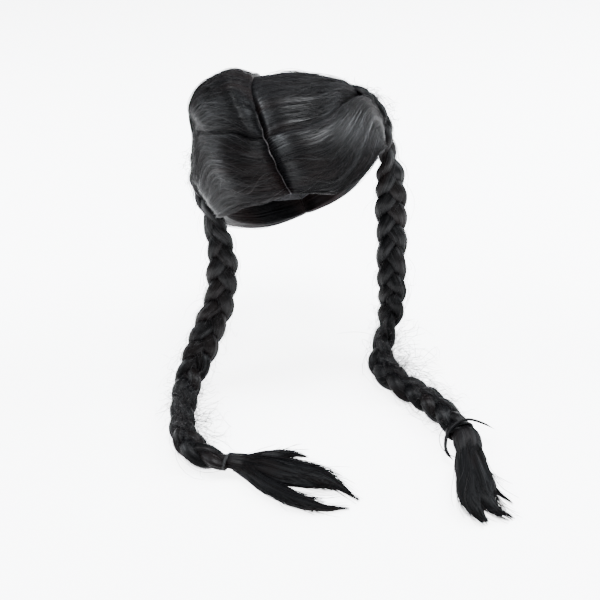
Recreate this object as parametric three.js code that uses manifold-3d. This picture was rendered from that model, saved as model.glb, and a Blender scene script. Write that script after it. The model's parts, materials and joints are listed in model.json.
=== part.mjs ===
// A long black wig with a centre parting and two three-strand plaits, in the form that it has when worn.
// Millimetres, +Z up. The forehead faces -Y and the wearer's left is +X. The origin is the top of the
// head hollow, where the wig sits. The wig sits a little tipped, the plaits hang from beside the ears,
// and their ends lie forward on a flat surface below.

import * as THREE from 'three';
import { mergeVertices } from 'three/addons/utils/BufferGeometryUtils.js';
import Module from 'manifold-3d';

const wasm = await Module();
wasm.setup();

// The head hollow and the net cap around it
const hollowHalfWidth = 76;
const hollowHalfDepth = 95;
const hollowHalfHeight = 90;
const capWall = 1.6;
const tipDegrees = 15;
const turnDegrees = 5;

// The hair masses that are combed from the parting to the plaits. The parting runs over the head from
// an angle in degrees over the brow to one at the nape.
const browRise = 19;
const napeRise = 232;
const hairSwell = 50;
const combGroove = 1.2;
const combLocks = 5;
const seamWidth = 2.2;
const seamRise = 1.2;

// The plaits
const plaitWidth = 32;
const plaitThickness = 19;
const weaveLength = 74;
const strandGap = 0.8;
const strandSway = 0.47;
const strandRise = 0.36;
const strandFullness = 1.08;
const plaitReach = 200;
const restDrop = 280;
const restLift = 1.18;

// The ties and the loose tails
const elasticThickness = 2.4;
const wrapWidth = 8;
const wrapThickness = 2.2;
const loopThickness = 2.8;
const tieRoom = 1.08;
const tailLength = 130;
const tailThickness = 13;

// Clearances
const seatGap = 0.3;
const seamGap = 0.6;
const liningGap = 1.1;
const plaitRoom = 0.9;

// The parting, seen from above: rise is the angle in degrees over the brow, with 90 at the crown, lean
// is how many degrees it wanders to the wearer's left, and swell is the hair's height there as a share
// of hairSwell
const parting = [
  { rise: browRise, lean: -1, swell: 0.12 },
  { rise: 41, lean: -4, swell: 0.13 },
  { rise: 60, lean: -5, swell: 0.17 },
  { rise: 79, lean: -5, swell: 0.27 },
  { rise: 95, lean: -4, swell: 0.36 },
  { rise: 110, lean: -1, swell: 0.42 },
  { rise: 128, lean: 2, swell: 0.42 },
  { rise: 180, lean: 0, swell: 0.3 },
  { rise: napeRise, lean: 0, swell: 0.16 },
];

// The poles are where each side's hair gathers into its plait: rise and side are angles from the brow,
// and swell is the height of the plait's middle there
const poles = {
  left: { rise: 19, side: 78, swell: 0.6 },
  right: { rise: 24, side: -66, swell: 0.24 },
};

// Lines that run over the head from the parting to each pole and part the hair into masses: the rise
// in degrees at a share of the way
const combLines = {
  left: {
    hairline: [
      { share: 0, rise: browRise },
      { share: 0.16, rise: 15 },
      { share: 0.32, rise: 10 },
      { share: 0.56, rise: 12 },
      { share: 0.72, rise: 22 },
      { share: 0.88, rise: 29 },
    ],
    crease: [
      { share: 0, rise: 54 },
      { share: 0.24, rise: 54 },
      { share: 0.4, rise: 59 },
      { share: 0.56, rise: 80 },
      { share: 0.64, rise: 101 },
      { share: 0.72, rise: 126 },
      { share: 0.8, rise: 140 },
      { share: 0.88, rise: 148 },
    ],
    plaitLine: [
      { share: 0, rise: 124 },
      { share: 0.56, rise: 125 },
      { share: 0.72, rise: 134 },
      { share: 0.8, rise: 146 },
      { share: 0.88, rise: 156 },
    ],
    napeLine: [
      { share: 0, rise: napeRise },
      { share: 0.32, rise: 229 },
      { share: 0.56, rise: 225 },
      { share: 0.72, rise: 222 },
      { share: 0.88, rise: 222 },
    ],
  },
  right: {
    hairline: [
      { share: 0, rise: browRise },
      { share: 0.4, rise: 19 },
      { share: 0.56, rise: 16 },
      { share: 0.72, rise: 9 },
      { share: 0.88, rise: -4 },
    ],
    crease: [
      { share: 0, rise: 56 },
      { share: 0.08, rise: 57 },
      { share: 0.24, rise: 70 },
      { share: 0.4, rise: 88 },
      { share: 0.48, rise: 104 },
      { share: 0.56, rise: 111 },
      { share: 0.72, rise: 116 },
      { share: 0.8, rise: 140 },
      { share: 0.88, rise: 164 },
    ],
    plaitLine: [
      { share: 0, rise: 124 },
      { share: 0.24, rise: 129 },
      { share: 0.56, rise: 136 },
      { share: 0.72, rise: 146 },
      { share: 0.8, rise: 160 },
      { share: 0.88, rise: 172 },
    ],
    napeLine: [
      { share: 0, rise: napeRise },
      { share: 0.32, rise: 230 },
      { share: 0.56, rise: 228 },
      { share: 0.72, rise: 228 },
      { share: 0.88, rise: napeRise },
    ],
  },
};

// Each hair mass fills the room between two of those lines. Its height over the head at the front
// line, between them and at the back line is a share of hairSwell.
const masses = {
  left_front_roll: {
    side: 'left',
    from: 'hairline',
    to: 'crease',
    rows: [
      { share: 0.08, front: 0.14, middle: 0.34, back: 0.18 },
      { share: 0.16, front: 0.16, middle: 0.46, back: 0.24 },
      { share: 0.32, front: 0.24, middle: 0.62, back: 0.32 },
      { share: 0.56, front: 0.42, middle: 0.74, back: 0.48 },
      { share: 0.72, front: 0.58, middle: 0.82, back: 0.68 },
      { share: 0.88, front: 0.62, middle: 0.8, back: 0.7 },
    ],
  },
  left_crown_roll: {
    side: 'left',
    from: 'crease',
    to: 'plaitLine',
    rows: [
      { share: 0.08, front: 0.18, middle: 0.36, back: 0.35 },
      { share: 0.16, front: 0.22, middle: 0.38, back: 0.32 },
      { share: 0.32, front: 0.28, middle: 0.46, back: 0.38 },
      { share: 0.48, front: 0.38, middle: 0.6, back: 0.52 },
      { share: 0.56, front: 0.44, middle: 0.66, back: 0.57 },
      { share: 0.72, front: 0.56, middle: 0.62, back: 0.57 },
    ],
  },
  left_back_fall: {
    side: 'left',
    from: 'plaitLine',
    to: 'napeLine',
    rows: [
      { share: 0.08, front: 0.46, middle: 0.38, back: 0.17 },
      { share: 0.32, front: 0.48, middle: 0.46, back: 0.2 },
      { share: 0.56, front: 0.54, middle: 0.52, back: 0.24 },
      { share: 0.72, front: 0.58, middle: 0.56, back: 0.3 },
      { share: 0.88, front: 0.56, middle: 0.54, back: 0.4 },
    ],
  },
  right_front_roll: {
    side: 'right',
    from: 'hairline',
    to: 'crease',
    rows: [
      { share: 0.08, front: 0.13, middle: 0.3, back: 0.18 },
      { share: 0.24, front: 0.16, middle: 0.46, back: 0.28 },
      { share: 0.4, front: 0.2, middle: 0.59, back: 0.4 },
      { share: 0.56, front: 0.25, middle: 0.6, back: 0.5 },
      { share: 0.72, front: 0.3, middle: 0.59, back: 0.48 },
      { share: 0.88, front: 0.36, middle: 0.5, back: 0.43 },
    ],
  },
  right_crown_roll: {
    side: 'right',
    from: 'crease',
    to: 'plaitLine',
    rows: [
      { share: 0.08, front: 0.19, middle: 0.69, back: 0.72 },
      { share: 0.16, front: 0.23, middle: 0.76, back: 0.73 },
      { share: 0.24, front: 0.3, middle: 0.83, back: 0.77 },
      { share: 0.32, front: 0.36, middle: 0.9, back: 0.82 },
      { share: 0.4, front: 0.42, middle: 0.88, back: 0.79 },
      { share: 0.48, front: 0.48, middle: 0.73, back: 0.64 },
      { share: 0.56, front: 0.48, middle: 0.56, back: 0.52 },
      { share: 0.72, front: 0.46, middle: 0.5, back: 0.46 },
      { share: 0.8, front: 0.43, middle: 0.47, back: 0.43 },
    ],
  },
  right_back_fall: {
    side: 'right',
    from: 'plaitLine',
    to: 'napeLine',
    rows: [
      { share: 0.08, front: 0.65, middle: 0.44, back: 0.17 },
      { share: 0.32, front: 0.68, middle: 0.5, back: 0.2 },
      { share: 0.56, front: 0.5, middle: 0.48, back: 0.22 },
      { share: 0.72, front: 0.45, middle: 0.46, back: 0.26 },
      { share: 0.88, front: 0.38, middle: 0.41, back: 0.3 },
    ],
  },
};

// Each plait starts on the head, at a rise and a share of the way to the pole, with its middle at a
// share of hairSwell over the head. From the pole it falls by a share of the drop, and moves out to its
// own side and forward by shares of plaitReach. Its width is a share of plaitWidth, and its flat side
// faces out from the head on it, and then the direction given to its own side, forward and up.
const plaits = {
  left: {
    onHead: [
      { rise: 122, share: 0.46, swell: 0.34, width: 0.5 },
      { rise: 124, share: 0.58, swell: 0.6, width: 0.85 },
      { rise: 129, share: 0.7, swell: 0.75, width: 0.92 },
      { rise: 140, share: 0.82, swell: 0.74, width: 0.88 },
      { rise: 156, share: 0.93, swell: 0.65, width: 0.82 },
    ],
    hanging: [
      { drop: 0.07, out: 0.012, forward: -0.02, width: 0.85, facing: [0.8, 0.6, 0] },
      { drop: 0.16, out: 0.02, forward: 0, width: 1, facing: [0.3, 1, 0] },
      { drop: 0.29, out: 0.02, forward: 0.025, width: 1.08, facing: [0, 1, 0] },
      { drop: 0.44, out: 0.015, forward: 0.07, width: 1.06, facing: [0, 1, 0] },
      { drop: 0.61, out: 0.01, forward: 0.13, width: 1.06, facing: [-0.2, 1, 0] },
      { drop: 0.78, out: 0, forward: 0.2, width: 0.96, facing: [-0.6, 1, 0.2] },
      { drop: 0.89, out: -0.03, forward: 0.265, width: 0.84, facing: [-1, 0.6, 0.4] },
      { drop: 0.965, out: -0.065, forward: 0.335, width: 0.86, facing: [-0.8, 0.5, 0.8] },
      { drop: 1, out: -0.075, forward: 0.425, width: 0.94, facing: [-0.3, 0, 1] },
      { drop: 1, out: -0.015, forward: 0.58, width: 0.98, facing: [0, 0, 1] },
      { drop: 1, out: 0.105, forward: 0.73, width: 0.98, facing: [0, 0, 1] },
      { drop: 1, out: 0.205, forward: 0.885, width: 0.94, facing: [0, 0, 1] },
      { drop: 1, out: 0.255, forward: 1.025, width: 0.8, facing: [0, 0, 1] },
    ],
  },
  right: {
    onHead: [
      { rise: 133, share: 0.44, swell: 0.2, width: 0.5 },
      { rise: 136, share: 0.58, swell: 0.38, width: 0.8 },
      { rise: 142, share: 0.72, swell: 0.44, width: 0.85 },
      { rise: 148, share: 0.84, swell: 0.42, width: 0.82 },
    ],
    hanging: [
      { drop: 0.09, out: 0.02, forward: -0.01, width: 0.84, facing: [0.7, 0.7, 0] },
      { drop: 0.22, out: 0, forward: 0.01, width: 0.86, facing: [0, 1, 0] },
      { drop: 0.41, out: 0, forward: 0.035, width: 1.06, facing: [0, 1, 0] },
      { drop: 0.6, out: 0.03, forward: 0.075, width: 1.04, facing: [0, 1, 0] },
      { drop: 0.77, out: 0.1, forward: 0.145, width: 1.15, facing: [0, 1, 0.2] },
      { drop: 0.91, out: 0.17, forward: 0.235, width: 1.06, facing: [0, 1, 0.5] },
      { drop: 0.98, out: 0.215, forward: 0.33, width: 0.96, facing: [0, 0.6, 1] },
      { drop: 1, out: 0.23, forward: 0.475, width: 0.88, facing: [0, 0, 1] },
      { drop: 1, out: 0.235, forward: 0.625, width: 0.8, facing: [0, 0, 1] },
      { drop: 1, out: 0.215, forward: 0.765, width: 0.86, facing: [0, 0, 1] },
      { drop: 1, out: 0.15, forward: 0.895, width: 0.92, facing: [0, 0, 1] },
      { drop: 1, out: 0.05, forward: 0.97, width: 0.8, facing: [0, 0, 1] },
      { drop: 1, out: -0.01, forward: 0.99, width: 0.6, facing: [0, 0, 1] },
    ],
  },
};

// Each loose tail is a head that fans into locks. A row is a place along and across the tail and a
// width, as shares of tailLength, and a thickness as a share of tailThickness.
const tails = {
  left: [
    [
      { along: 0.05, across: 0.01, width: 0.13, thickness: 0.8 },
      { along: 0.22, across: -0.07, width: 0.17, thickness: 1 },
      { along: 0.42, across: -0.16, width: 0.2, thickness: 1 },
      { along: 0.6, across: -0.25, width: 0.2, thickness: 0.95 },
      { along: 0.74, across: -0.28, width: 0.15, thickness: 0.75 },
      { along: 0.83, across: -0.26, width: 0.06, thickness: 0.3 },
    ],
    [
      { along: 0.05, across: 0, width: 0.12, thickness: 0.9 },
      { along: 0.26, across: -0.06, width: 0.18, thickness: 1 },
      { along: 0.48, across: -0.13, width: 0.2, thickness: 1 },
      { along: 0.64, across: -0.18, width: 0.17, thickness: 0.9 },
      { along: 0.76, across: -0.16, width: 0.11, thickness: 0.5 },
      { along: 0.85, across: -0.1, width: 0.04, thickness: 0.2 },
    ],
    [
      { along: 0.05, across: 0.02, width: 0.12, thickness: 0.8 },
      { along: 0.22, across: 0, width: 0.13, thickness: 0.9 },
      { along: 0.42, across: -0.05, width: 0.11, thickness: 0.75 },
      { along: 0.57, across: -0.05, width: 0.07, thickness: 0.5 },
      { along: 0.72, across: 0, width: 0.02, thickness: 0.2 },
    ],
  ],
  right: [
    [
      { along: 0.04, across: 0.03, width: 0.11, thickness: 0.8 },
      { along: 0.2, across: 0.15, width: 0.11, thickness: 0.8 },
      { along: 0.3, across: 0.2, width: 0.1, thickness: 0.7 },
      { along: 0.42, across: 0.25, width: 0.07, thickness: 0.5 },
      { along: 0.53, across: 0.26, width: 0.02, thickness: 0.2 },
    ],
    [
      { along: 0.04, across: 0.02, width: 0.12, thickness: 0.9 },
      { along: 0.25, across: 0.05, width: 0.22, thickness: 1 },
      { along: 0.46, across: 0.03, width: 0.29, thickness: 0.95 },
      { along: 0.66, across: 0.03, width: 0.26, thickness: 0.8 },
      { along: 0.84, across: -0.01, width: 0.15, thickness: 0.5 },
      { along: 1, across: -0.1, width: 0.03, thickness: 0.2 },
    ],
    [
      { along: 0.04, across: 0, width: 0.11, thickness: 0.8 },
      { along: 0.2, across: -0.06, width: 0.13, thickness: 0.9 },
      { along: 0.4, across: -0.16, width: 0.15, thickness: 0.9 },
      { along: 0.6, across: -0.23, width: 0.14, thickness: 0.8 },
      { along: 0.8, across: -0.25, width: 0.09, thickness: 0.5 },
      { along: 0.95, across: -0.2, width: 0.02, thickness: 0.2 },
    ],
  ],
};

// The lock that ties the left plait ends in a loose loop: places along, across and over the plait's
// middle as shares of plaitWidth, and thickness as a share of loopThickness
const tieLoop = [
  { along: 0.41, across: 0.93, over: 0.12, thickness: 0.4 },
  { along: 0.12, across: 0.67, over: 0.24, thickness: 0.8 },
  { along: -0.12, across: 0.32, over: 0.33, thickness: 1 },
  { along: -0.14, across: 0, over: 0.35, thickness: 1 },
  { along: -0.04, across: -0.37, over: 0.28, thickness: 1 },
  { along: 0.2, across: -0.65, over: 0.16, thickness: 1 },
  { along: 0.53, across: -0.81, over: 0, thickness: 1 },
  { along: 0.85, across: -0.74, over: -0.16, thickness: 0.7 },
];

// The bundle at a tie that the tail's locks spring from: places along it as shares of plaitWidth and
// sizes as shares of the plait's end
const bundle = [
  { along: 0.01, size: 0.94 },
  { along: 0.15, size: 1 },
  { along: 0.37, size: 1.12 },
  { along: 0.6, size: 0.8 },
];

// How finely the pieces are divided
const capRings = 6;
const capSpokes = 18;
const seamSteps = 24;
const combStep = 0.08;
const settleShare = 0.12;
const massColumns = 10;
const stepsPerWeave = 13;
const strandSides = 6;
const strandLook = 0.5;
const strandLeast = 0.2;
const envelopeSides = 8;
const envelopeSquareness = 0.75;
const tailSteps = 7;
const tailSides = 6;
const tieSteps = 12;
const tieSides = 6;
const loopSteps = 12;
const mergeReach = 1e-5;

// The cap's rim: turn is degrees round from the brow to the nape, drop is degrees down from the crown
const capRim = [
  { turn: 0, drop: 63 },
  { turn: 45, drop: 67 },
  { turn: 75, drop: 75 },
  { turn: 95, drop: 82 },
  { turn: 120, drop: 100 },
  { turn: 150, drop: 124 },
  { turn: 180, drop: 132 },
];

const radians = THREE.MathUtils.degToRad;
const fullTurn = 360;
const up = new THREE.Vector3(0, 0, 1);

// A value from a table's column, by straight lines between its rows
function between(rows, key, place, column) {
  const last = rows.length - 1;
  let row = 0;
  while (row < last - 1 && rows[row + 1][key] < place) row += 1;
  const start = rows[row];
  const end = rows[row + 1];
  const mix = THREE.MathUtils.clamp((place - start[key]) / (end[key] - start[key]), 0, 1);
  return THREE.MathUtils.lerp(start[column], end[column], mix);
}

// Turns a mesh the right way round, so that its faces point out
function facingOut(geometry) {
  const place = geometry.getAttribute('position');
  const index = geometry.getIndex().array;
  const corner = [new THREE.Vector3(), new THREE.Vector3(), new THREE.Vector3()];
  let volume = 0;
  for (let i = 0; i < index.length; i += 3) {
    corner.forEach((point, n) => point.fromBufferAttribute(place, index[i + n]));
    volume += corner[0].dot(corner[1].cross(corner[2]));
  }
  if (volume < 0) {
    for (let i = 0; i < index.length; i += 3) {
      [index[i + 1], index[i + 2]] = [index[i + 2], index[i + 1]];
    }
  }
  return geometry;
}

function closedMesh(points, faces) {
  const geometry = new THREE.BufferGeometry();
  geometry.setFromPoints(points);
  geometry.setIndex(faces);
  return facingOut(mergeVertices(geometry, mergeReach));
}

// Rows of points, each a ring, joined into a skin and closed by a fan at both ends
function loft(rings) {
  const sides = rings[0].length;
  const points = rings.flat();
  const faces = [];
  for (let row = 0; row < rings.length - 1; row += 1) {
    for (let side = 0; side < sides; side += 1) {
      const a = row * sides + side;
      const b = row * sides + ((side + 1) % sides);
      faces.push(a, b, a + sides, b, b + sides, a + sides);
    }
  }
  for (const [ring, flip] of [[0, true], [rings.length - 1, false]]) {
    const middle = new THREE.Vector3();
    rings[ring].forEach((point) => middle.addScaledVector(point, 1 / sides));
    const hub = points.push(middle) - 1;
    for (let side = 0; side < sides; side += 1) {
      const a = ring * sides + side;
      const b = ring * sides + ((side + 1) % sides);
      faces.push(...(flip ? [hub, b, a] : [hub, a, b]));
    }
  }
  return closedMesh(points, faces);
}

// Two grids of points, one over the other, joined round their edges into a closed shell. A grid that
// wraps round has no edge across its rows.
function shell(outer, inner, wraps = false) {
  const rows = outer.length;
  const columns = outer[0].length;
  const points = [...outer.flat(), ...inner.flat()];
  const under = rows * columns;
  const faces = [];
  const quad = (a, b, c, d) => faces.push(a, b, c, a, c, d);
  const last = wraps ? columns : columns - 1;
  for (let row = 0; row < rows - 1; row += 1) {
    for (let column = 0; column < last; column += 1) {
      const next = (column + 1) % columns;
      const corners = [
        row * columns + column,
        row * columns + next,
        (row + 1) * columns + next,
        (row + 1) * columns + column,
      ];
      quad(...corners);
      quad(...corners.map((corner) => corner + under).reverse());
    }
  }
  const border = (a, b) => quad(b, a, a + under, b + under);
  for (let column = 0; column < last; column += 1) {
    const next = (column + 1) % columns;
    border(column, next);
    border((rows - 1) * columns + next, (rows - 1) * columns + column);
  }
  if (!wraps) {
    for (let row = 0; row < rows - 1; row += 1) {
      border((row + 1) * columns, row * columns);
      border(row * columns + last, (row + 1) * columns + last);
    }
  }
  return closedMesh(points, faces);
}

function toSolid(geometry) {
  return new wasm.Manifold(new wasm.Mesh({
    numProp: 3,
    vertProperties: new Float32Array(geometry.getAttribute('position').array),
    triVerts: new Uint32Array(geometry.getIndex().array),
  }));
}

function fromSolid(solid) {
  const mesh = solid.getMesh();
  const geometry = new THREE.BufferGeometry();
  geometry.setAttribute('position', new THREE.BufferAttribute(new Float32Array(mesh.vertProperties), 3));
  geometry.setIndex(new THREE.BufferAttribute(new Uint32Array(mesh.triVerts), 1));
  return geometry;
}

// The head's own frame: its middle, and the tip and turn that the wig is worn with
const headTurn = new THREE.Quaternion().setFromEuler(
  new THREE.Euler(0, radians(-tipDegrees), radians(turnDegrees), 'ZYX'),
);
const headRadius = (direction) => 1 / Math.hypot(
  direction.x / hollowHalfWidth,
  direction.y / hollowHalfDepth,
  direction.z / hollowHalfHeight,
);
const crownRadius = headRadius(up.clone().applyQuaternion(headTurn.clone().invert()));
const headMiddle = new THREE.Vector3(0, 0, -crownRadius);
const overHead = (direction, height) => direction.clone().multiplyScalar(headRadius(direction) + height)
  .applyQuaternion(headTurn).add(headMiddle);

// Directions from the head's middle, in its own frame
function direction(rise, side) {
  const level = Math.cos(side);
  return new THREE.Vector3(Math.sin(side), -level * Math.cos(rise), level * Math.sin(rise));
}

function partingDirection(rise) {
  const place = THREE.MathUtils.clamp(rise, parting[0].rise, parting[parting.length - 1].rise);
  return direction(radians(rise), radians(between(parting, 'rise', place, 'lean')));
}

const poleDirection = (side) => direction(radians(poles[side].rise), radians(poles[side].side));
const combArc = (side, rise) => partingDirection(rise).angleTo(poleDirection(side));

// The way that hair is combed: a share of the great circle from the parting to the pole
function combed(side, rise, share) {
  const start = partingDirection(rise);
  const end = poleDirection(side);
  const arc = start.angleTo(end);
  return start.multiplyScalar(Math.sin((1 - share) * arc) / Math.sin(arc))
    .addScaledVector(end, Math.sin(share * arc) / Math.sin(arc));
}

function makeCap() {
  const wall = (thickness) => {
    const rows = [[overHead(up, thickness)]];
    for (let ring = 1; ring <= capRings; ring += 1) {
      const row = [];
      for (let spoke = 0; spoke < capSpokes; spoke += 1) {
        const turn = (spoke / capSpokes) * fullTurn;
        const rim = between(capRim, 'turn', Math.min(turn, fullTurn - turn), 'drop');
        const drop = radians((ring / capRings) * rim);
        const heading = new THREE.Vector3(
          Math.sin(drop) * Math.sin(radians(turn)),
          -Math.sin(drop) * Math.cos(radians(turn)),
          Math.cos(drop),
        );
        row.push(overHead(heading, thickness));
      }
      rows.push(row);
    }
    rows[0] = rows[1].map(() => rows[0][0]);
    return rows;
  };
  const geometry = shell(wall(capWall), wall(0), true);
  return dropFlatFaces(geometry);
}

// Leaves out the faces that have shrunk to a line where a grid's rows meet in one point
function dropFlatFaces(geometry) {
  const index = Array.from(geometry.getIndex().array);
  const kept = [];
  for (let i = 0; i < index.length; i += 3) {
    const [a, b, c] = index.slice(i, i + 3);
    if (a !== b && b !== c && c !== a) kept.push(a, b, c);
  }
  geometry.setIndex(kept);
  return facingOut(geometry);
}

const seamShare = (side, rise, halfWidth) => halfWidth / (hollowHalfDepth * combArc(side, rise));
const partingSwell = (rise) => hairSwell * between(parting, 'rise', rise, 'swell');

// The stitched seam that stands a little proud of the hair along the parting
function makeSeam() {
  const first = parting[0].rise;
  const last = parting[parting.length - 1].rise;
  const rings = [];
  for (let step = 0; step <= seamSteps; step += 1) {
    const rise = THREE.MathUtils.lerp(first, last, step / seamSteps);
    const top = partingSwell(rise) + seamRise;
    const foot = capWall + liningGap;
    const edge = (side) => combed(side, rise, seamShare(side, rise, seamWidth / 2));
    rings.push([
      overHead(edge('left'), foot),
      overHead(edge('left'), top - seamRise / 2),
      overHead(partingDirection(rise), top),
      overHead(edge('right'), top - seamRise / 2),
      overHead(edge('right'), foot),
    ]);
  }
  return loft(rings);
}

// One hair mass: a swollen, grooved sheet of combed hair over the cap, with its edges rounded down.
// Its rows stand at the same shares as its neighbours' rows, so that their edges match.
function makeMass({ side, from, to, rows }) {
  const outer = [];
  const inner = [];
  const steps = Math.round(rows[rows.length - 1].share / combStep);
  for (let step = 0; step <= steps; step += 1) {
    const along = step * combStep;
    const edgeGap = THREE.MathUtils.radToDeg(seatGap / 2 / (hollowHalfWidth * (1 - along)));
    const front = between(combLines[side][from], 'share', along, 'rise') + edgeGap;
    const back = between(combLines[side][to], 'share', along, 'rise') - edgeGap;
    const swells = ['front', 'middle', 'back'].map((column) => between(rows, 'share', along, column));
    const bulge = swells[1] - (swells[0] + swells[2]) / 2;
    const settle = THREE.MathUtils.smoothstep(along, 0, settleShare);
    const outerRow = [];
    const innerRow = [];
    for (let column = 0; column <= massColumns; column += 1) {
      const across = (1 - Math.cos((Math.PI * column) / massColumns)) / 2;
      const rise = THREE.MathUtils.lerp(front, back, across);
      const share = Math.max(along, seamShare(side, rise, seamWidth / 2 + seamGap));
      const arch = Math.sqrt(4 * across * (1 - across));
      const swell = hairSwell * (THREE.MathUtils.lerp(swells[0], swells[2], across) + bulge * arch);
      const groove = column % (massColumns / combLocks) === 0 ? combGroove : 0;
      const height = THREE.MathUtils.lerp(partingSwell(rise), swell - groove, settle);
      const heading = combed(side, rise, share);
      outerRow.push(overHead(heading, height));
      innerRow.push(overHead(heading, capWall + liningGap));
    }
    outer.push(outerRow);
    inner.push(innerRow);
  }
  return shell(outer, inner);
}

// The way that a plait takes: its middle line, widths and facing at even steps from head to tie
function plaitWay(side) {
  const hand = side === 'left' ? 1 : -1;
  const { onHead, hanging } = plaits[side];
  const pole = poleDirection(side);
  const root = overHead(pole, hairSwell * poles[side].swell);
  const restLevel = -restDrop + (plaitThickness / 2) * restLift;
  const rows = onHead.map((row) => {
    const heading = combed(side, row.rise, row.share);
    return {
      place: overHead(heading, hairSwell * row.swell),
      width: row.width,
      facing: heading.clone().applyQuaternion(headTurn),
    };
  });
  for (const row of hanging) {
    rows.push({
      place: new THREE.Vector3(
        root.x + hand * row.out * plaitReach,
        root.y - row.forward * plaitReach,
        THREE.MathUtils.lerp(root.z, restLevel, row.drop),
      ),
      width: row.width,
      facing: new THREE.Vector3(hand * row.facing[0], -row.facing[1], row.facing[2]),
    });
  }
  const curve = new THREE.CatmullRomCurve3(rows.map((row) => row.place), false, 'centripetal');
  const length = curve.getLength();
  const stations = [];
  const steps = Math.round((length / weaveLength) * stepsPerWeave);
  for (let step = 0; step <= steps; step += 1) {
    const even = step / steps;
    const place = curve.getPointAt(even);
    const ahead = curve.getTangentAt(even);
    const spot = curve.getUtoTmapping(even) * (rows.length - 1);
    const row = Math.min(Math.floor(spot), rows.length - 2);
    const mix = THREE.MathUtils.smoothstep(spot - row, 0, 1);
    const facing = rows[row].facing.clone().lerp(rows[row + 1].facing, mix);
    const across = ahead.clone().cross(facing).normalize();
    stations.push({
      place,
      ahead,
      across,
      facing: across.clone().cross(ahead).normalize(),
      width: THREE.MathUtils.lerp(rows[row].width, rows[row + 1].width, mix),
      turn: (even * length * 2 * Math.PI) / weaveLength,
    });
  }
  return stations;
}

const plaitHalfWidth = plaitWidth / 2;
const plaitHalfThickness = plaitThickness / 2;
const strandHalfWidth = plaitHalfWidth * (1 - strandSway) * strandFullness;
const strandHalfThickness = plaitHalfThickness * (1 - strandRise) * strandFullness;

const strandPlace = (turn, strand) => {
  const phase = turn + (strand * 2 * Math.PI) / 3;
  return new THREE.Vector2(
    plaitHalfWidth * strandSway * Math.sin(phase),
    plaitHalfThickness * strandRise * Math.sin(2 * phase),
  );
};

// One of a plait's three strands: an oval that weaves a flat figure of eight round the plait's middle,
// flattened where it meets the other two, here and just ahead and behind
function makeStrand(way, strand) {
  const look = (strandLook * 2 * Math.PI) / stepsPerWeave;
  const rings = way.map(({ place, across, facing, width, turn }) => {
    const centre = strandPlace(turn, strand);
    const walls = [];
    for (const near of [turn - look, turn, turn + look]) {
      for (const step of [1, 2]) {
        const own = strandPlace(near, strand);
        const other = strandPlace(near, (strand + step) % 3);
        const apart = new THREE.Vector2(
          (other.x - own.x) / strandHalfWidth ** 2,
          (other.y - own.y) / strandHalfThickness ** 2,
        );
        const middle = own.add(other).multiplyScalar(0.5).sub(centre);
        walls.push({ apart, room: apart.dot(middle) - (strandGap / 2) * apart.length() / width });
      }
    }
    const ring = [];
    for (let side = 0; side < strandSides; side += 1) {
      const angle = (side / strandSides) * 2 * Math.PI;
      const ray = new THREE.Vector2(
        strandHalfWidth * Math.cos(angle),
        strandHalfThickness * Math.sin(angle),
      );
      let reach = 1;
      for (const { apart, room } of walls) {
        const closing = apart.dot(ray);
        if (closing > 0) reach = Math.min(reach, Math.max(strandLeast, room / closing));
      }
      const spot = centre.clone().addScaledVector(ray, reach);
      ring.push(place.clone().addScaledVector(across, spot.x * width).addScaledVector(facing, spot.y * width));
    }
    return ring;
  });
  return loft(rings);
}

// Takes an oval's sine or cosine towards a rounded box
const squared = (share) => Math.sign(share) * Math.abs(share) ** envelopeSquareness;

// The room that a plait takes up where it runs over the head, with clearance all round
function makeEnvelope(way) {
  const onHead = way.filter((station, step) => step % 2 === 0
    && station.place.z > headMiddle.z - hollowHalfHeight);
  const grow = 1 / Math.cos(Math.PI / envelopeSides);
  return toSolid(loft(onHead.map(({ place, across, facing, width }) => {
    const ring = [];
    for (let side = 0; side < envelopeSides; side += 1) {
      const angle = (side / envelopeSides) * 2 * Math.PI;
      ring.push(place.clone()
        .addScaledVector(across, squared(Math.cos(angle)) * (plaitHalfWidth * width + plaitRoom) * grow)
        .addScaledVector(facing, squared(Math.sin(angle)) * (plaitHalfThickness * width + plaitRoom) * grow));
    }
    return ring;
  })));
}

// The largest piece that is left of a solid when another is cut out of it
function cutBy(geometry, cutter) {
  const pieces = toSolid(geometry).subtract(cutter).decompose();
  pieces.sort((a, b) => b.volume() - a.volume());
  return fromSolid(pieces[0]);
}

// The frame in which a tie and a tail are placed: the plait's end, lying on the surface
function tailFrame(way) {
  const end = way[way.length - 1];
  const ahead = new THREE.Vector3(end.ahead.x, end.ahead.y, 0).normalize();
  const across = up.clone().cross(ahead);
  return { end, at: (along, aside, over) => end.place.clone().addScaledVector(ahead, along)
    .addScaledVector(across, aside).addScaledVector(up, over) };
}

// A tapering lock of the loose tail, lying on the surface
function makeTailLock(way, rows) {
  const { end, at } = tailFrame(way);
  const floor = -restDrop - end.place.z;
  const curve = new THREE.CatmullRomCurve3(rows.map((row) => new THREE.Vector3(row.along, row.across, 0)));
  const rings = [];
  for (let step = 0; step <= tailSteps; step += 1) {
    const even = step / tailSteps;
    const spot = curve.getPoint(even);
    const ahead = curve.getTangent(even);
    const place = even * (rows.length - 1);
    const row = Math.min(Math.floor(place), rows.length - 2);
    const mix = place - row;
    const halfWidth = tailLength * THREE.MathUtils.lerp(rows[row].width, rows[row + 1].width, mix) / 2;
    const halfThickness = tailThickness
      * THREE.MathUtils.lerp(rows[row].thickness, rows[row + 1].thickness, mix) / 2;
    const ring = [];
    for (let side = 0; side < tailSides; side += 1) {
      const angle = (side / tailSides) * 2 * Math.PI;
      const aside = Math.cos(angle) * halfWidth;
      ring.push(at(
        spot.x * tailLength - ahead.y * aside,
        spot.y * tailLength + ahead.x * aside,
        floor + seatGap + halfThickness * (1 + Math.sin(angle)),
      ));
    }
    rings.push(ring);
  }
  return toSolid(loft(rings));
}

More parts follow.
